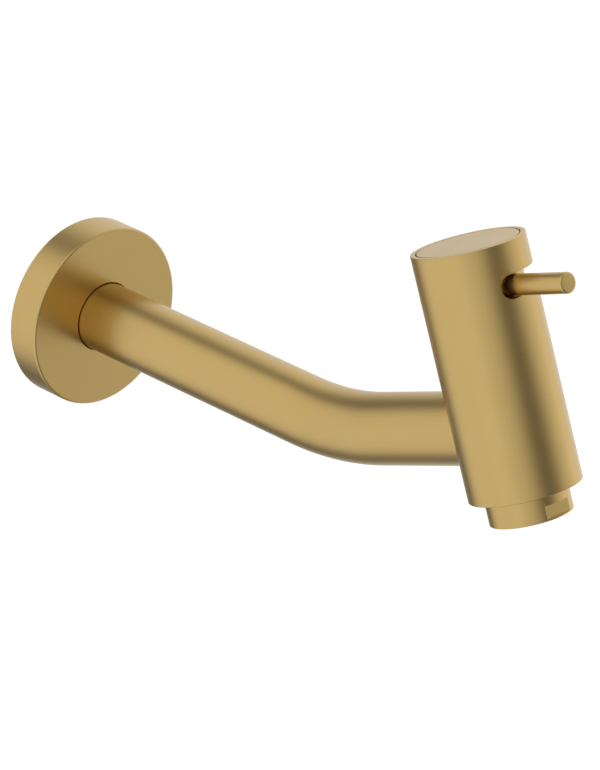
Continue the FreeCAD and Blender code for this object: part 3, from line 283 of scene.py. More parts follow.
# The band across the hoop in front and behind, as (distance to the right in radii, level) stops.
FRONT_BAND = ((-4.0, 0.91), (-2.08, 0.88), (-1.46, 0.82), (-1.07, 0.76), (-0.72, 0.74),
              (-0.36, 0.51), (-0.07, 0.13), (0.29, 0.16), (0.59, 0.47), (1.03, 0.79),
              (1.43, 0.82), (2.2, 0.92), (2.9, 1.03), (4.0, 1.03))
REAR_BAND = ((-4.0, 0.88), (-1.28, 0.89), (-0.64, 0.94), (-0.32, 0.67), (-0.1, 0.17),
             (0.2, 0.11), (0.51, 0.51), (0.88, 0.83), (1.22, 0.90), (4.0, 1.0))

# Where the hoop changes, in radii: up from its middle line, back from it, or both added up.
TOP_NARROWS = (0.1, 1.0)
FOOT_NARROWS = (-1.0, -0.5)
TOP_FADES = (0.2, 0.9)
FOOT_FADES = (-1.0, -0.75)
FRONT_TO_REAR = (-0.5, 0.3)
LOW_FRONT_LIFTS = (-1.4, -1.0)

# Lamps as (name, place, width, height).
LAMPS = (
    ("left_lamp", (-1.3, -0.1, 0.35), 1.8, 1.5),
    ("right_lamp", (1.3, -0.25, 0.2), 1.0, 1.2),
)
LAMP_AIM = (0, -0.12, 0.02)

# Stretch of the noise that gives a piece fine lines round its axis.
GOLD_LINES = (60, 60, 5200)
BRASS_LINES = (90, 90, 3600)

SETTINGS = {
    "tap_arm": ArmSizes,
    "tap_flange": FlangeSizes,
    "tap_inlet": InletSizes,
    "tap_head": HeadSizes,
    "tap_lever": LeverSizes,
    "tap_aerator": AeratorSizes,
    "tap_finish": FinishColours,
    "tap_stage": StageSettings,
}


def wall_place():
    """Turns a piece made along its own Z into one that stands out of the wall."""
    return Matrix.Rotation(QUARTER_TURN, 4, "X")


def head_place(arm):
    """Sets a piece made along its own Z on the leaning axis of the head."""
    spot = Vector((0, -arm.run - arm.reach * math.cos(arm.bend), arm.reach * math.sin(arm.bend)))
    return Matrix.Translation(spot) @ Matrix.Rotation(-arm.bend, 4, "X")


def add_piece(name, data):
    """Links a new object with this mesh, lamp or camera."""
    piece = bpy.data.objects.new(name, data)
    bpy.context.scene.collection.objects.link(piece)
    return piece


def mesh_from(name, work):
    """Turns a closed bmesh into a mesh whose faces point outwards."""
    bmesh.ops.remove_doubles(work, verts=work.verts, dist=SAME_PLACE)
    bmesh.ops.recalc_face_normals(work, faces=work.faces)
    mesh = bpy.data.meshes.new(name)
    work.to_mesh(mesh)
    work.free()
    return mesh


def rounded(corners):
    """The points of an outline of (radius, height, round) corners, with steps round its edges."""
    points = []
    count = len(corners)
    for index, (across, up, size) in enumerate(corners):
        spot = Vector((across, up))
        if size == 0:
            points.append(spot)
            continue
        before = (Vector(corners[index - 1][:2]) - spot).normalized()
        after = (Vector(corners[(index + 1) % count][:2]) - spot).normalized()
        half = before.angle(after) / 2
        centre = spot + (before + after).normalized() * size / math.sin(half)
        start = (spot + before * size / math.tan(half) - centre).normalized()
        end = (spot + after * size / math.tan(half) - centre).normalized()
        for step in range(ROUND_STEPS + 1):
            points.append(centre + start.slerp(end, step / ROUND_STEPS) * size)
    return points


def turned_mesh(name, corners, sides=256):
    """Revolves an outline of (radius, height, round) corners about Z."""
    work = bmesh.new()
    rings = []
    for across, up in rounded(corners):
        ring = []
        for side in range(sides if across > 0 else 1):
            turn = 2 * math.pi * side / sides
            ring.append(work.verts.new((across * math.cos(turn), across * math.sin(turn), up)))
        rings.append(ring)
    for ring, following in zip(rings, rings[1:] + rings[:1]):
        if len(ring) == 1 and len(following) == 1:
            continue
        for side in range(sides):
            corner = [ring[side % len(ring)], ring[(side + 1) % len(ring)],
                      following[(side + 1) % len(following)], following[side % len(following)]]
            work.faces.new(list(dict.fromkeys(corner)))
    return mesh_from(name, work)


def rod_mesh(name, radius, low, high, sides=256):
    """A plain round rod along Z."""
    corners = [(0, low, 0), (radius, low, 0), (radius, high, 0), (0, high, 0)]
    return turned_mesh(name, corners, sides)


def prism_mesh(name, outline, low, high):
    """A straight prism over an outline in the XY plane."""
    work = bmesh.new()
    bottom = [work.verts.new((across, up, low)) for across, up in outline]
    top = [work.verts.new((across, up, high)) for across, up in outline]
    work.faces.new(bottom)
    work.faces.new(top)
    join_rings(work, bottom, top)
    return mesh_from(name, work)


def join_rings(work, first, second):
    """Joins two rings of as many points with faces."""
    for index in range(len(first)):
        following = (index + 1) % len(first)
        work.faces.new((first[index], first[following], second[following], second[index]))


def hexagon(width):
    """The corners of a hexagon by its width across flats, with two flats upright."""
    radius = width / 2 / math.cos(math.radians(30))
    turns = [math.radians(60 * corner) for corner in range(6)]
    return [(radius * math.sin(turn), radius * math.cos(turn)) for turn in turns]


def groove(surface, depth, first, last):
    """The four corners of a square groove from one level to another, without rounds."""
    floor = surface - depth
    return [(surface, first, 0), (floor, first, 0), (floor, last, 0), (surface, last, 0)]


def key_drill(flange):
    """The way of the grub screw and its key, straight down from the inlet's axis."""
    drill = rod_mesh("key_drill", flange.key_diameter / 2, -flange.diameter, 0, 48)
    drill.transform(Matrix.Translation((0, -flange.key_level, 0)))
    return drill


def bake(piece):
    """Replaces a piece's modifiers by the plain mesh that they make."""
    graph = bpy.context.evaluated_depsgraph_get()
    made = bpy.data.meshes.new_from_object(piece.evaluated_get(graph))
    old = piece.data
    piece.modifiers.clear()
    piece.data = made
    bpy.data.meshes.remove(old)


def merge_points(mesh, distance, slivers=False):
    """Joins points that lie closer than this, and takes out the slivers between them if asked."""
    work = bmesh.new()
    work.from_mesh(mesh)
    bmesh.ops.remove_doubles(work, verts=work.verts, dist=distance)
    if slivers:
        bmesh.ops.dissolve_degenerate(work, edges=work.edges, dist=distance)
    work.to_mesh(mesh)
    work.free()


def cut(piece, mesh, operation="DIFFERENCE"):
    """Cuts a piece with a mesh in the same place."""
    cutter = add_piece("cutter", mesh)
    boolean = piece.modifiers.new("cut", "BOOLEAN")
    boolean.object = cutter
    boolean.operation = operation
    boolean.solver = "EXACT"
    bake(piece)
    bpy.data.objects.remove(cutter)
    bpy.data.meshes.remove(mesh)
    merge_points(piece.data, SAME_POINT, slivers=True)


def finish_piece(piece, place, material, slot, body, *nodes):
    """Sets a piece in its place, shades it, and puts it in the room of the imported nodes."""
    if place is not None:
        piece.data.transform(place)
    piece.data.shade_smooth()
    piece.data.set_sharp_from_angle(angle=SMOOTH_ANGLE)
    weighted = piece.modifiers.new("even_shading", "WEIGHTED_NORMAL")
    weighted.keep_sharp = True
    bake(piece)
    piece.data.materials.clear()
    piece.data.materials.append(material)
    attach(piece, body)
    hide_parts(*nodes)


def smooth_copy(node, name):
    """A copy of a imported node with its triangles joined, so that it can be shaded smooth."""
    mesh = frame["nodes"][node].data.copy()
    mesh.name = name
    merge_points(mesh, SAME_CORNER)
    return add_piece(name, mesh)


class Nodes:
    """Short ways to add nodes to one tree and to link them."""

    def __init__(self, tree, prefix):
        self.tree = tree
        self.prefix = prefix
        tree.nodes.clear()

    def add(self, kind, settings=None, **inputs):
        """Adds a node, with its own settings and the values or sockets of its inputs."""
        node = self.tree.nodes.new(self.prefix + kind)
        for name, value in (settings or {}).items():
            setattr(node, name, value)
        for name, value in inputs.items():
            self.join(node.inputs[name.replace("_", " ")], value)
        return node

    def join(self, socket, value):
        """Links an output to an input, or gives the input a value or colour of its own."""
        if isinstance(value, bpy.types.NodeSocket):
            self.tree.links.new(value, socket)
        elif socket.type == "RGBA":
            socket.default_value = (*value, 1)
        else:
            socket.default_value = value


class Shader(Nodes):
    """The nodes of one material or world."""

    def __init__(self, owner):
        owner.use_nodes = True
        super().__init__(owner.node_tree, "ShaderNode")
        self.owner = owner

    def coordinates(self, turn=(0, 0, 0), scale=(1, 1, 1)):
        """Object coordinates, turned and then stretched."""
        plain = self.add("TexCoord").outputs["Object"]
        point = {"vector_type": "POINT"}
        turned = self.add("Mapping", point, Vector=plain, Rotation=turn)
        return self.add("Mapping", point, Vector=turned.outputs[0], Scale=scale).outputs[0]

    def noise(self, vector, scale, detail):
        """Soft noise from 0 to 1."""
        return self.add("TexNoise", Vector=vector, Scale=scale, Detail=detail).outputs["Fac"]

    def ranged(self, value, low, high, first, last):
        """A value between low and high, carried over to the range from first to last."""
        return self.add("MapRange", Value=value, From_Min=low, From_Max=high, To_Min=first,
                        To_Max=last).outputs[0]

    def spread(self, value, low=0.0, high=1.0):
        """Noise stretched between two values."""
        return self.ranged(value, *NOISE_RANGE, low, high)

    def blend(self, amount, first, second):
        """A mix of two colours, given as they are or by their outputs."""
        node = self.add("Mix", {"data_type": "RGBA"})
        for socket, value in ((0, amount), (6, first), (7, second)):
            self.join(node.inputs[socket], value)
        return node.outputs[2]

    def ramp(self, value, stops):
        """A soft scale of greys over a value from 0 to 1, given as (place, level) stops."""
        node = self.add("ValToRGB", Fac=value)
        elements = node.color_ramp.elements
        node.color_ramp.interpolation = "B_SPLINE"
        first, *middle, last = stops
        for element, (place, level) in zip(elements, (first, last)):
            element.position = place
            element.color = (level, level, level, 1)
        for place, level in middle:
            elements.new(place).color = (level, level, level, 1)
        return node.outputs["Color"]

    def math(self, operation, *values):
        """A sum on numbers or sockets."""
        node = self.add("Math", {"operation": operation})
        for socket, value in zip(node.inputs, values):
            self.join(socket, value)
        return node.outputs[0]

    def bump(self, height, strength, depth, **under):
        """A fine relief, on another one if that is given as Normal."""
        node = self.add("Bump", Height=height, Strength=strength, Distance=depth, **under)
        return node.outputs[0]

    def finish(self, **inputs):
        """Ends the material in a principled shader."""
        surface = self.add("BsdfPrincipled", **inputs)
        self.add("OutputMaterial", Surface=surface.outputs[0])
        return self.owner


def made_once(maker):
    """Makes a material at the first call with its name, and finds it again after that."""

    @functools.wraps(maker)
    def find_or_make(name, *values):
        return bpy.data.materials.get(name) or maker(Shader(bpy.data.materials.new(name)), *values)

    return find_or_make


def shade(colour_of, part):
    """A colour made darker."""
    return [channel * part for channel in colour_of]


@made_once
def satin_gold(shader, finish, turn):
    """Satin gold: a clouded tone and very fine lines round the piece's own axis."""
    plain = shader.coordinates()
    lines = shader.noise(shader.coordinates(turn, GOLD_LINES), scale=1, detail=3)
    grain = shader.noise(plain, scale=5200, detail=1)
    tone = shader.spread(shader.noise(plain, scale=26, detail=2))
    gloss = shader.spread(lines, finish.gold_gloss - finish.gold_lines,
                          finish.gold_gloss + finish.gold_lines)
    relief = shader.bump(lines, strength=0.05, depth=0.01 * MM)
    relief = shader.bump(grain, strength=0.05, depth=0.01 * MM, Normal=relief)
    return shader.finish(Base_Color=shader.blend(tone, finish.gold, finish.gold_deep),
                         Metallic=1.0, Roughness=gloss, Normal=relief)


@made_once
def machined_brass(shader, finish):
    """Bare turned brass."""
    drawn = shader.coordinates((QUARTER_TURN, 0, 0), BRASS_LINES)
    lines = shader.noise(drawn, scale=1, detail=3)
    stain = shader.spread(shader.noise(shader.coordinates(), scale=90, detail=3))
    return shader.finish(Base_Color=shader.blend(stain, finish.brass, shade(finish.brass, 0.8)),
                         Metallic=1.0, Roughness=shader.spread(lines, 0.22, 0.36),
                         Normal=shader.bump(lines, strength=0.15, depth=0.02 * MM))


@made_once
def plain_steel(shader, finish):
    """Stainless steel of small parts."""
    grain = shader.noise(shader.coordinates(), scale=2600, detail=3)
    return shader.finish(Base_Color=shader.blend(grain, finish.steel, shade(finish.steel, 0.88)),
                         Metallic=1.0, Roughness=shader.spread(grain, 0.24, 0.38),
                         Normal=shader.bump(grain, strength=0.1, depth=0.02 * MM))


@made_once
def soft_rubber(shader, finish):
    """Black rubber of the seals, with a little bloom."""
    grain = shader.noise(shader.coordinates(), scale=3200, detail=3)
    bloom = shader.spread(shader.noise(shader.coordinates(), scale=140, detail=3))
    dusty = [channel + 0.012 for channel in finish.rubber]
    return shader.finish(Base_Color=shader.blend(bloom, finish.rubber, dusty),
                         Roughness=shader.spread(grain, 0.55, 0.72),
                         Normal=shader.bump(grain, strength=0.2, depth=0.03 * MM))


@made_once
def lapped_ceramic(shader, finish):
    """Ceramic of the valve's discs."""
    speck = shader.spread(shader.noise(shader.coordinates(), scale=1500, detail=4))
    cool = shade(finish.ceramic, 0.95)
    return shader.finish(Base_Color=shader.blend(speck, finish.ceramic, cool),
                         Roughness=shader.spread(speck, 0.12, 0.2))


@made_once
def moulded_plastic(shader, finish):
    """Pale moulded plastic of the jet former."""
    grain = shader.noise(shader.coordinates(), scale=2400, detail=3)
    cloud = shader.spread(shader.noise(shader.coordinates(), scale=120, detail=2))
    warm = shade(finish.plastic, 0.93)
    return shader.finish(Base_Color=shader.blend(cloud, finish.plastic, warm),
                         Roughness=shader.spread(grain, 0.36, 0.5),
                         Normal=shader.bump(grain, strength=0.12, depth=0.02 * MM))


def wall_gold(context):
    """The satin gold of pieces turned about the inlet's axis."""
    return satin_gold("satin_gold_wall", context.scene.tap_finish, (QUARTER_TURN, 0, 0))


def head_gold(context):
    """The satin gold of pieces turned about the head's leaning axis."""
    scene = context.scene
    return satin_gold("satin_gold_head", scene.tap_finish, (scene.tap_arm.bend, 0, 0))


def lever_gold(context):
    """The satin gold of the lever, turned about its own axis."""
    scene = context.scene
    turn = scene.tap_arm.bend + QUARTER_TURN
    return satin_gold("satin_gold_lever", scene.tap_finish, (turn, 0, 0))


class ShapeTree(Nodes):
    """A geometry node tree with named inputs."""

    def __init__(self, name, **kinds):
        tree = bpy.data.node_groups.new(name, "GeometryNodeTree")
        super().__init__(tree, "GeometryNode")
        inputs = {"Geometry": "Geometry", **kinds, "Material": "Material"}
        for label, kind in inputs.items():
            tree.interface.new_socket(label.replace("_", " "), in_out="INPUT",
                                      socket_type="NodeSocket" + kind)
        tree.interface.new_socket("Geometry", in_out="OUTPUT", socket_type="NodeSocketGeometry")
        self.start = tree.nodes.new("NodeGroupInput").outputs

    def end(self, geometry):
        """Ends the tree in real geometry with its material."""
        real = self.add("RealizeInstances", Geometry=geometry)
        painted = self.add("SetMaterial", Geometry=real.outputs[0], Material=self.start["Material"])
        out = self.tree.nodes.new("NodeGroupOutput")
        self.join(out.inputs[0], painted.outputs[0])
        return self.tree


def grow(piece, tree, values):
    """Adds a geometry tree to a piece, sets its inputs by their identifiers, and bakes it."""
    modifier = piece.modifiers.new(tree.name, "NODES")
    modifier.node_group = tree
    for item in tree.interface.items_tree:
        if item.in_out == "INPUT" and item.name in values:
            modifier[item.identifier] = values[item.name]
    bake(piece)


def tube_tree():
    """Rounds the corners of a line and sweeps a circle along it."""
    tree = ShapeTree("tube_along_line", Tube_radius="Float", Bend_radius="Float", Bend_steps="Int",
                     Sides="Int")
    start = tree.start
    line = tree.add("MeshToCurve", Mesh=start["Geometry"])
    bent = tree.add("FilletCurve", {"mode": "POLY"}, Curve=line.outputs[0],
                    Radius=start["Bend radius"], Count=start["Bend steps"])
    section = tree.add("CurvePrimitiveCircle", Radius=start["Tube radius"],
                       Resolution=start["Sides"])
    swept = tree.add("CurveToMesh", Curve=bent.outputs[0], Profile_Curve=section.outputs[0])
    return tree.end(swept.outputs[0])


def thread_tree():
    """Winds a ridge round a cylinder, up its Z axis."""
    tree = ShapeTree("ridge_round_pipe", Root_radius="Float", Depth="Float", Foot="Float",
                     Crest="Float", Turns="Float", Length="Float", Steps="Int")
    start = tree.start
    spiral = tree.add("CurveSpiral", Resolution=start["Steps"], Rotations=start["Turns"],
                      Start_Radius=start["Root radius"], End_Radius=start["Root radius"],
                      Height=start["Length"])
    upright = tree.add("SetCurveNormal", {"mode": "Z_UP"}, Curve=spiral.outputs[0])
    section = tree.add("CurvePrimitiveQuadrilateral", {"mode": "TRAPEZOID"},
                       Height=start["Depth"], Bottom_Width=start["Foot"],
                       Top_Width=start["Crest"], Offset=0.0)
    swept = tree.add("CurveToMesh", Curve=upright.outputs[0], Profile_Curve=section.outputs[0],
                     Fill_Caps=True)
    return tree.end(swept.outputs[0])


class TAP_OT_arm(Operator):
    """Sweeps the arm's tube along its line, with one bend towards the head"""

    bl_idname = "tap.arm"
    bl_label = "Arm"

    def execute(self, context):
        arm = context.scene.tap_arm
        outer = arm.reach - arm.socket
        corner = Vector((0, -arm.run, 0))
        end = corner + Vector((0, -math.cos(arm.bend), math.sin(arm.bend))) * outer
        mesh = bpy.data.meshes.new("spout_arm")
        mesh.from_pydata([(0, -arm.start, 0), corner, end], [(0, 1), (1, 2)], [])
        piece = add_piece("spout_arm", mesh)
        material = wall_gold(context)
        grow(piece, tube_tree(), {"Tube radius": arm.diameter / 2, "Bend radius": arm.bend_radius,
                                  "Bend steps": arm.bend_steps, "Sides": arm.sides,
                                  "Material": material})
        wall = piece.modifiers.new("wall", "SOLIDIFY")
        wall.thickness = arm.wall
        wall.offset = -1
        bake(piece)
        cut(piece, key_drill(context.scene.tap_flange))
        finish_piece(piece, None, material, "brushed_gold", "tap", "spout_tube")
        return {"FINISHED"}


class TAP_OT_flange(Operator):
    """Turns the flange with its recess, boss and seal grooves, and drills its key hole"""

    bl_idname = "tap.flange"
    bl_label = "Flange"

    def execute(self, context):
        flange = context.scene.tap_flange
        arm = context.scene.tap_arm
        radius = flange.diameter / 2
        inside = radius - flange.rim_wall
        floor = flange.thickness - flange.face_wall
        bore = arm.diameter / 2 + flange.bore_gap
        boss = bore + flange.boss_wall
        seal = radius - flange.seal_inset
        fine = flange.fine_round
        ring = flange.thickness - flange.ring_lip
        mesh = turned_mesh("flange_plate", [
            (radius, 0, fine),
            (radius, flange.thickness, flange.front_round),
            (bore, flange.thickness, fine),
            *groove(bore, -flange.ring_depth, ring, ring - flange.ring_width),
            (bore, arm.start, 0),
            (boss, arm.start, fine),
            (boss, floor, fine),
            (inside, floor, fine),
            (inside, 0, fine),
            (seal - flange.seal_width, 0, 0),
            (seal - flange.seal_width, flange.seal_depth, 0),
            (seal, flange.seal_depth, 0),
            (seal, 0, 0),
        ])
        piece = add_piece("flange_plate", mesh)
        piece.data.transform(wall_place())
        cut(piece, key_drill(flange))
        finish_piece(piece, None, wall_gold(context), "brushed_gold", "tap", "wall_flange")
        return {"FINISHED"}


class TAP_OT_inlet(Operator):
    """Makes the nipple behind the flange, with a wound pipe thread"""

    bl_idname = "tap.inlet"
    bl_label = "Inlet"

    def execute(self, context):
        inlet = context.scene.tap_inlet
        brass = machined_brass("machined_brass", context.scene.tap_finish)
        self.make_core(inlet, context.scene.tap_flange.key_level, brass)
        self.make_collar(inlet, brass)
        self.make_thread(inlet, brass)
        return {"FINISHED"}

    def make_core(self, inlet, catch_level, brass):
        """The bored core of the thread and the grooved spigot inside the tube."""
        root = inlet.crest / 2 - inlet.depth
        surface = inlet.spigot_diameter / 2
        front = inlet.collar + inlet.spigot
        grooves = []
        for level, width, depth in (
            (catch_level, inlet.catch_width, inlet.catch_depth),
            (inlet.ring_back, inlet.ring_width, inlet.ring_depth),
            (inlet.ring_front, inlet.ring_width, inlet.ring_depth),
        ):
            grooves += groove(surface, depth, level - width / 2, level + width / 2)
        mesh = turned_mesh("inlet_core", [
            (inlet.bore / 2, -inlet.thread, inlet.fine_round),
            (root, -inlet.thread, 0.5 * inlet.fine_round),
            (root, 0, 0),
            (surface, 0, 0),
            *grooves,
            (surface, front, inlet.fine_round),
            (inlet.bore / 2, front, 0),
        ])
        piece = add_piece("inlet_core", mesh)
        key = prism_mesh("key", hexagon(inlet.key_width), front - inlet.key_depth, front + OVERLAP)
        cut(piece, key)
        finish_piece(piece, wall_place(), brass, "raw_brass", "tap", "wall_nipple")

    def make_collar(self, inlet, brass):
        """The hexagon that seats against the wall's fitting."""
        mesh = prism_mesh("inlet_collar", hexagon(inlet.collar_width), 0, inlet.collar)
        piece = add_piece("inlet_collar", mesh)
        edges = piece.modifiers.new("edges", "BEVEL")
        edges.width = inlet.fine_round
        edges.segments = 3
        bake(piece)
        cut(piece, rod_mesh("bore", inlet.bore / 2, -OVERLAP, inlet.collar + OVERLAP))
        finish_piece(piece, wall_place(), brass, "raw_brass", "tap", "wall_nipple")

    def make_thread(self, inlet, brass):
        """The thread, wound as one ridge and trimmed to its crests and chamfer."""
        crest = inlet.crest / 2
        piece = add_piece("inlet_thread", bpy.data.meshes.new("inlet_thread"))
        grow(piece, thread_tree(), {
            "Root radius": crest - inlet.depth / 2 - HAIRLINE,
            "Depth": inlet.depth + 2 * HAIRLINE,
            "Foot": inlet.pitch * inlet.thread_foot,
            "Crest": inlet.pitch * inlet.thread_crest,
            "Turns": inlet.thread / inlet.pitch,
            "Length": inlet.thread,
            "Steps": inlet.thread_steps,
            "Material": brass,
        })
        piece.data.transform(Matrix.Translation((0, 0, -inlet.thread)))
        envelope = turned_mesh("envelope", [
            (0, -inlet.thread, 0),
            (crest - inlet.chamfer, -inlet.thread, 0),
            (crest, inlet.chamfer - inlet.thread, 0),
            (crest, -2 * HAIRLINE, 0),
            (0, -2 * HAIRLINE, 0),
        ])
        cut(piece, envelope, "INTERSECT")
        finish_piece(piece, wall_place(), brass, "raw_brass", "tap", "wall_nipple")


class TAP_OT_head(Operator):
    """Turns the head's shell, bores it for the arm, and cuts the lever's slot round its front"""

    bl_idname = "tap.head"
    bl_label = "Head"

    def execute(self, context):
        scene = context.scene
        head = scene.tap_head
        piece = add_piece("head_shell", self.shell(head))
        seat = scene.tap_arm.socket - HAIRLINE
        arm_bore = turned_mesh("arm_bore", [
            (0, 0, 0),
            (head.passage / 2, 0, 0),
            (head.passage / 2, seat, 0),
            (head.socket / 2, seat, 0),
            (head.socket / 2, head.diameter, 0),
            (0, head.diameter, 0),
        ])
        arm_bore.transform(Matrix.Rotation(-QUARTER_TURN, 4, "X"))
        cut(piece, arm_bore)
        cut(piece, self.slot(head, scene.tap_lever))
        place = head_place(scene.tap_arm)
        finish_piece(piece, place, head_gold(context), "brushed_gold", "tap", "tap_body")
        return {"FINISHED"}

    def shell(self, head):
        """The turned shell with its bores."""
        radius = head.diameter / 2
        shoulder = head.above - head.lid
        ring_seat = head.well_floor - head.ring_seat_depth
        bottom = -head.below
        ceiling = bottom + head.mouth_depth
        return turned_mesh("head_shell", [
            (radius, bottom, head.bottom_round),
            (radius, head.above, head.rim_round),
            (radius - head.rim, head.above, head.fine_round),
            (radius - head.rim, shoulder, 0),
            (radius - head.inner_wall, shoulder, 0),
            (radius - head.inner_wall, head.floor, 0),
            (head.well / 2, head.floor, 0),
            (head.well / 2, head.well_floor, 0),
            (head.ring_seat / 2, head.well_floor, 0),
            (head.ring_seat / 2, ring_seat, 0),
            (head.valve_bore / 2, ring_seat, 0),
            (head.valve_bore / 2, -head.valve_seat, 0),
            (head.outlet / 2, -head.valve_seat, 0),
            (head.outlet / 2, ceiling, 0),
            (head.mouth / 2, ceiling, 0),
            (head.mouth / 2, bottom, head.fine_round),
        ], sides=320)

    def slot(self, head, lever):
        """The slot as a solid: a long hole with round ends, wider at its lip."""
        level = head.above - lever.drop
        radius = head.diameter / 2
        lip = lever.slot_lip
        layers = [(radius - head.inner_wall - OVERLAP, 0.0)]
        for step in range(SLOT_LIP_STEPS + 1):
            part = step / SLOT_LIP_STEPS * QUARTER_TURN
            layers.append((radius - lip * (1 - math.sin(part)), lip * (1 - math.cos(part))))
        layers.append((radius + OVERLAP, lip))
        work = bmesh.new()
        rings = []
        for distance, widening in layers:
            line = self.slot_line(distance, widening, level, lever)
            rings.append([work.verts.new(spot) for spot in line])
        for inner, outer in zip(rings, rings[1:]):
            join_rings(work, inner, outer)
        self.close_slot(work, rings[0])
        self.close_slot(work, rings[-1])
        return mesh_from("slot", work)

    def close_slot(self, work, ring):
        """Closes one curved side of the slot's solid with strips between its long edges."""
        half = len(ring) // 2
        for index in range(half - 1):
            corner = [ring[index], ring[index + 1], ring[-2 - index], ring[-1 - index]]
            work.faces.new(list(dict.fromkeys(corner)))

    def slot_line(self, distance, widening, level, lever):
        """The slot's outline at one distance from the head's axis, along its foot and back."""
        half = lever.slot_height / 2 + widening
        start = -lever.spare
        end = lever.travel + lever.spare
        ends = [QUARTER_TURN * step / SLOT_END_STEPS for step in range(SLOT_END_STEPS + 1)]
        foot = []
        for part in ends:
            side = math.asin(half * math.cos(part) / distance)
            foot.append((start - side, level - half * math.sin(part)))
        for step in range(1, SLOT_LONG_STEPS):
            foot.append((start + (end - start) * step / SLOT_LONG_STEPS, level - half))
        for part in ends:
            side = math.asin(half * math.sin(part) / distance)
            foot.append((end + side, level - half * math.cos(part)))
        top = [(turn, 2 * level - up) for turn, up in reversed(foot)]
        return [Vector((distance * math.sin(turn), -distance * math.cos(turn), up))
                for turn, up in foot + top]


class TAP_OT_lid(Operator):
    """Turns the flush lid of the head"""

    bl_idname = "tap.lid"
    bl_label = "Lid"

    def execute(self, context):
        scene = context.scene
        head = scene.tap_head
        radius = head.diameter / 2 - head.rim - head.lid_gap
        skirt = head.diameter / 2 - head.inner_wall - head.lid_gap
        under = head.above - head.lid + HAIRLINE
        groove_low = under - head.skirt / 2 - head.lid_groove / 2
        mesh = turned_mesh("head_lid", [
            (0, under, 0),
            (skirt - head.skirt, under, 0),
            (skirt - head.skirt, under - head.skirt, 0),
            (skirt, under - head.skirt, head.lid_round),
            *groove(skirt, head.lid_groove_depth, groove_low, groove_low + head.lid_groove),
            (skirt, under, 0),
            (radius, under, 0),
            (radius, head.above, head.lid_round),
            (0, head.above, 0),
        ])
        piece = add_piece("head_lid", mesh)
        place = head_place(scene.tap_arm)
        finish_piece(piece, place, head_gold(context), "brushed_gold", "tap", "top_cap")
        return {"FINISHED"}


class TAP_OT_lever(Operator):
    """Turns the lever, and widens and shades the block that carries it"""

    bl_idname = "tap.lever"
    bl_label = "Lever"

    def execute(self, context):
        scene = context.scene
        lever = scene.tap_lever
        radius = lever.diameter / 2
        mesh = turned_mesh("lever_rod", [
            (0, lever.stud_end, 0),
            (lever.stud / 2, lever.stud_end, 0),
            (lever.stud / 2, lever.seat, 0),
            (radius, lever.seat, 0),
            (radius, lever.reach, lever.tip_round),
            (0, lever.reach, 0),
        ], sides=128)
        level = scene.tap_head.above - lever.drop
        mesh.transform(Matrix.Translation((0, 0, level)) @ wall_place())
        piece = add_piece("lever_rod", mesh)
        place = head_place(scene.tap_arm)
        finish_piece(piece, place, lever_gold(context), "brushed_gold", "lever", "lever_pin")
        block = smooth_copy("lever_hub", "lever_block")
        self.widen(block, lever, place, level)
        finish_piece(block, None, head_gold(context), "brushed_gold", "lever", "lever_hub")
        return {"FINISHED"}

    def widen(self, block, lever, place, level):
        """Brings the block's side out to its full diameter, with the lever's way through it."""
        sleeve = turned_mesh("sleeve", [
            (lever.block_inside, lever.block_low, 0),
            (lever.block / 2, lever.block_low, lever.block_round),
            (lever.block / 2, lever.block_high, lever.block_round),
            (lever.block_inside, lever.block_high, 0),
        ])
        sleeve.transform(place)
        cut(block, sleeve, "UNION")
        way = lever.diameter / 2 + lever.block_gap
        past_block = lever.block
        drill = rod_mesh("drill", way, lever.seat, past_block, sides=96)
        drill.transform(place @ Matrix.Translation((0, 0, level)) @ wall_place())
        cut(block, drill)


class TAP_OT_aerator(Operator):
    """Turns the aerator's collar with its two spanner flats, and shades the jet former inside"""

    bl_idname = "tap.aerator"
    bl_label = "Aerator"

    def execute(self, context):
        scene = context.scene
        aerator = scene.tap_aerator
        top = -scene.tap_head.below
        bottom = top - aerator.drop
        radius = aerator.diameter / 2
        inside = aerator.neck / 2 - aerator.wall
        mesh = turned_mesh("aerator_collar", [
            (inside - aerator.lip, bottom, aerator.mouth_round),
            (radius, bottom, aerator.edge_round),
            (radius, top - aerator.seam, aerator.top_round),
            (aerator.neck / 2, top - aerator.seam, 0),
            (aerator.neck / 2, top + aerator.neck_height, 0),
            (inside, top + aerator.neck_height, 0),
            (inside, bottom + aerator.lip_height, 0),
            (inside - aerator.lip, bottom + aerator.lip_height, 0),
        ])
        piece = add_piece("aerator_collar", mesh)
        low = bottom + aerator.flat_rise
        wide = aerator.diameter  # well past the collar on all sides
        for side in (-1, 1):
            near = side * aerator.flat_width / 2
            far = side * wide
            outline = [(-wide, near), (wide, near), (wide, far), (-wide, far)]
            cut(piece, prism_mesh("flat", outline, low, low + aerator.flat_height))
        place = head_place(scene.tap_arm)
        finish_piece(piece, place, head_gold(context), "brushed_gold", "tap", "aerator_housing")
        former = smooth_copy("aerator_insert", "jet_former")
        plastic = moulded_plastic("moulded_plastic", scene.tap_finish)
        finish_piece(former, None, plastic, "white_plastic", "tap", "aerator_insert")
        return {"FINISHED"}


class TAP_OT_inner_parts(Operator):
    """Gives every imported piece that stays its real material"""

    bl_idname = "tap.inner_parts"
    bl_label = "Inner parts"

    def execute(self, context):
        finish = context.scene.tap_finish
        makers = {
            "brushed_gold": lambda: head_gold(context),
            "raw_brass": lambda: machined_brass("machined_brass", finish),
            "steel": lambda: plain_steel("plain_steel", finish),
            "seal_rubber": lambda: soft_rubber("soft_rubber", finish),
            "disc_ceramic": lambda: lapped_ceramic("lapped_ceramic", finish),
            "white_plastic": lambda: moulded_plastic("moulded_plastic", finish),
        }
        for part in frame["record"]["subparts"]:
            node = frame["nodes"][part["node"]]
            for slot in node.material_slots:
                slot.material = makers[part["material_slot"]]()
        return {"FINISHED"}


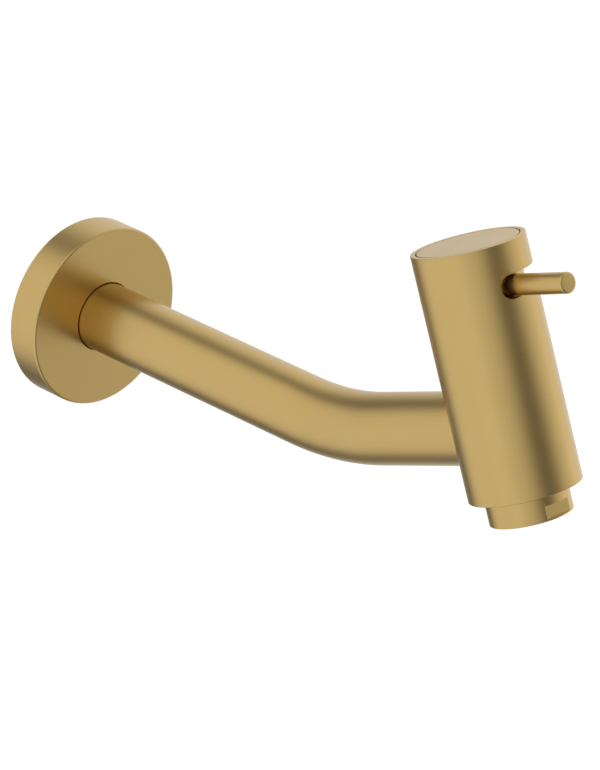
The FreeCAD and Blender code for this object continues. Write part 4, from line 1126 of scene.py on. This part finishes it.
class TAP_OT_stage(Operator):
    """Sets the floor, the surroundings, the lamps, the hoop that metal reflects, and the camera"""

    bl_idname = "tap.stage"
    bl_label = "Stage"

    def execute(self, context):
        stage = context.scene.tap_stage
        self.set_floor(stage)
        self.set_world(context.scene, stage)
        self.set_lamps(stage)
        self.set_hoop(stage)
        self.set_camera(context.scene, stage)
        context.scene.view_settings.view_transform = "Standard"
        return {"FINISHED"}

    def seen(self, shader):
        """1 for rays from the camera and those that metal and glass send on, and 0 for the rest."""
        path = shader.add("LightPath").outputs
        first = shader.math("MAXIMUM", path["Is Camera Ray"], path["Is Glossy Ray"])
        return shader.math("MAXIMUM", first, path["Is Transmission Ray"])

    def set_floor(self, stage):
        """A wide pale floor that keeps the tap's shadow."""
        size = stage.floor_reach
        mesh = bpy.data.meshes.new("floor")
        corners = [(-size, -size), (size, -size), (size, size), (-size, size)]
        mesh.from_pydata([(x, y, -stage.floor_drop) for x, y in corners], [], [(0, 1, 2, 3)])
        shader = Shader(bpy.data.materials.new("pale_floor"))
        matt = shader.add("BsdfDiffuse", Color=stage.floor_colour)
        lift = shader.math("MULTIPLY", self.seen(shader), stage.floor_lift)
        glow = shader.add("Emission", Strength=lift)
        both = shader.add("AddShader")
        for socket, part in zip(both.inputs, (matt, glow)):
            shader.join(socket, part.outputs[0])
        shader.add("OutputMaterial", Surface=both.outputs[0])
        mesh.materials.append(shader.owner)
        add_piece("floor", mesh)

    def set_world(self, scene, stage):
        """Plain pale surroundings."""
        scene.world = bpy.data.worlds.new("studio")
        shader = Shader(scene.world)
        strength = shader.ranged(self.seen(shader), 0.0, 1.0, stage.world_light, 1.0)
        background = shader.add("Background", Strength=strength)
        shader.add("OutputWorld", Surface=background.outputs[0])

    def set_lamps(self, stage):
        """Soft lamps on the left and right, which reflections don't see."""
        for name, spot, width, height in LAMPS:
            data = bpy.data.lights.new(name, "AREA")
            data.shape = "RECTANGLE"
            data.size = width
            data.size_y = height
            data.energy = stage.lamp_light * math.pi * width * height
            lamp = add_piece(name, data)
            lamp.visible_camera = False
            lamp.visible_glossy = False
            turn = (Vector(LAMP_AIM) - Vector(spot)).to_track_quat("-Z", "Y")
            lamp.matrix_world = Matrix.Translation(spot) @ turn.to_matrix().to_4x4()

    def set_hoop(self, stage):
        """A long pale hoop that only reflections see, with a soft dark band round its middle."""
        radius = stage.hoop_radius
        half = radius * stage.hoop_length
        work = bmesh.new()
        rings = []
        for step in range(stage.hoop_steps + 1):
            turn = 2 * math.pi * step / stage.hoop_steps
            spot = (HOOP_DEPTH + radius * math.cos(turn), radius * math.sin(turn))
            rings.append([work.verts.new((across, *spot)) for across in (-half, half)])
        for first, second in zip(rings, rings[1:]):
            work.faces.new((first[0], first[1], second[1], second[0]))
        hoop = add_piece("soft_flag", mesh_from("soft_flag", work))
        hoop.data.materials.append(self.hoop_glow(stage, radius, half))
        hoop.visible_camera = False
        hoop.visible_diffuse = False
        hoop.visible_transmission = False
        hoop.visible_shadow = False

    def hoop_glow(self, stage, radius, half):
        """The hoop's light, with the dark band that narrows and fades towards its top and foot."""
        shader = Shader(bpy.data.materials.new("soft_flag"))
        spot = shader.add("TexCoord").outputs["Object"]
        across, depth, up = shader.add("SeparateXYZ", Vector=spot).outputs

        def change(value, limits, first, last, middle=0.0):
            """A value that goes from first to last between two limits."""
            low, high = [middle + limit * radius for limit in limits]
            return shader.ranged(value, low, high, first, last)

        side = shader.math("MULTIPLY_ADD", up, -stage.band_tilt, across)
        for taper in (change(up, TOP_NARROWS, 1.0, stage.top_taper),
                      change(up, FOOT_NARROWS, stage.low_taper, 1.0)):
            side = shader.math("MULTIPLY", side, taper)
        place = shader.ranged(side, -half, half, 0.0, 1.0)
        reach = stage.hoop_length
        front, rear = [
            shader.ramp(place, [((right / reach + 1) / 2, level) for right, level in stops])
            for stops in (FRONT_BAND, REAR_BAND)
        ]
        band = shader.blend(change(depth, FRONT_TO_REAR, 0.0, 1.0, HOOP_DEPTH), front, rear)
        left = shader.math("MULTIPLY", change(up, TOP_FADES, 1.0, stage.top_fade),
                           change(up, FOOT_FADES, stage.low_fade, 1.0))
        soft = shader.blend(left, [1 / stage.hoop_light] * 3, band)
        light = change(shader.math("ADD", up, depth), LOW_FRONT_LIFTS,
                       stage.hoop_light * stage.front_lift, stage.hoop_light, HOOP_DEPTH)
        glow = shader.add("Emission", Color=soft, Strength=light)
        shader.add("OutputMaterial", Surface=glow.outputs[0])
        return shader.owner

    def set_camera(self, scene, stage):
        """The camera at the photograph's place."""
        turn, rise, roll = stage.camera_azimuth, stage.camera_elevation, stage.camera_roll
        back = Vector((math.sin(turn) * math.cos(rise), -math.cos(turn) * math.cos(rise),
                       math.sin(rise)))
        right = Vector((math.cos(turn), math.sin(turn), 0))
        up = back.cross(right)
        axes = Matrix((right * math.cos(roll) + up * math.sin(roll),
                       up * math.cos(roll) - right * math.sin(roll), back)).transposed()
        data = bpy.data.cameras.new("photo_camera")
        data.lens = stage.camera_lens
        camera = add_piece("photo_camera", data)
        spot = Vector(stage.camera_aim) + back * stage.camera_distance
        camera.matrix_world = Matrix.Translation(spot) @ axes.to_4x4()
        scene.camera = camera


STEPS = (TAP_OT_stage, TAP_OT_arm, TAP_OT_flange, TAP_OT_inlet, TAP_OT_head, TAP_OT_lid,
         TAP_OT_lever, TAP_OT_aerator, TAP_OT_inner_parts)


class TAP_PT_maker(Panel):
    """Lists the tap's pieces in the order that they are made"""

    bl_idname = "TAP_PT_maker"
    bl_label = "Wall basin tap"
    bl_space_type = "VIEW_3D"
    bl_region_type = "UI"
    bl_category = "Tap"

    def draw(self, context):
        for step in STEPS:
            self.layout.operator(step.bl_idname)
        for name in SETTINGS:
            box = self.layout.box()
            group = getattr(context.scene, name)
            for setting in group.bl_rna.properties:
                if setting.identifier not in ("name", "rna_type"):
                    box.prop(group, setting.identifier)


def register():
    """Registers the settings, the operators and the panel."""
    for name, group in SETTINGS.items():
        bpy.utils.register_class(group)
        setattr(bpy.types.Scene, name, PointerProperty(type=group))
    for step in STEPS:
        bpy.utils.register_class(step)
    bpy.utils.register_class(TAP_PT_maker)


def unregister():
    """Takes back what register has added."""
    bpy.utils.unregister_class(TAP_PT_maker)
    for step in reversed(STEPS):
        bpy.utils.unregister_class(step)
    for name, group in reversed(SETTINGS.items()):
        delattr(bpy.types.Scene, name)
        bpy.utils.unregister_class(group)


def main():
    """Makes the whole scene."""
    register()
    for step in STEPS:
        area, name = step.bl_idname.split(".")
        getattr(getattr(bpy.ops, area), name)()


if __name__ == "__main__":
    main()
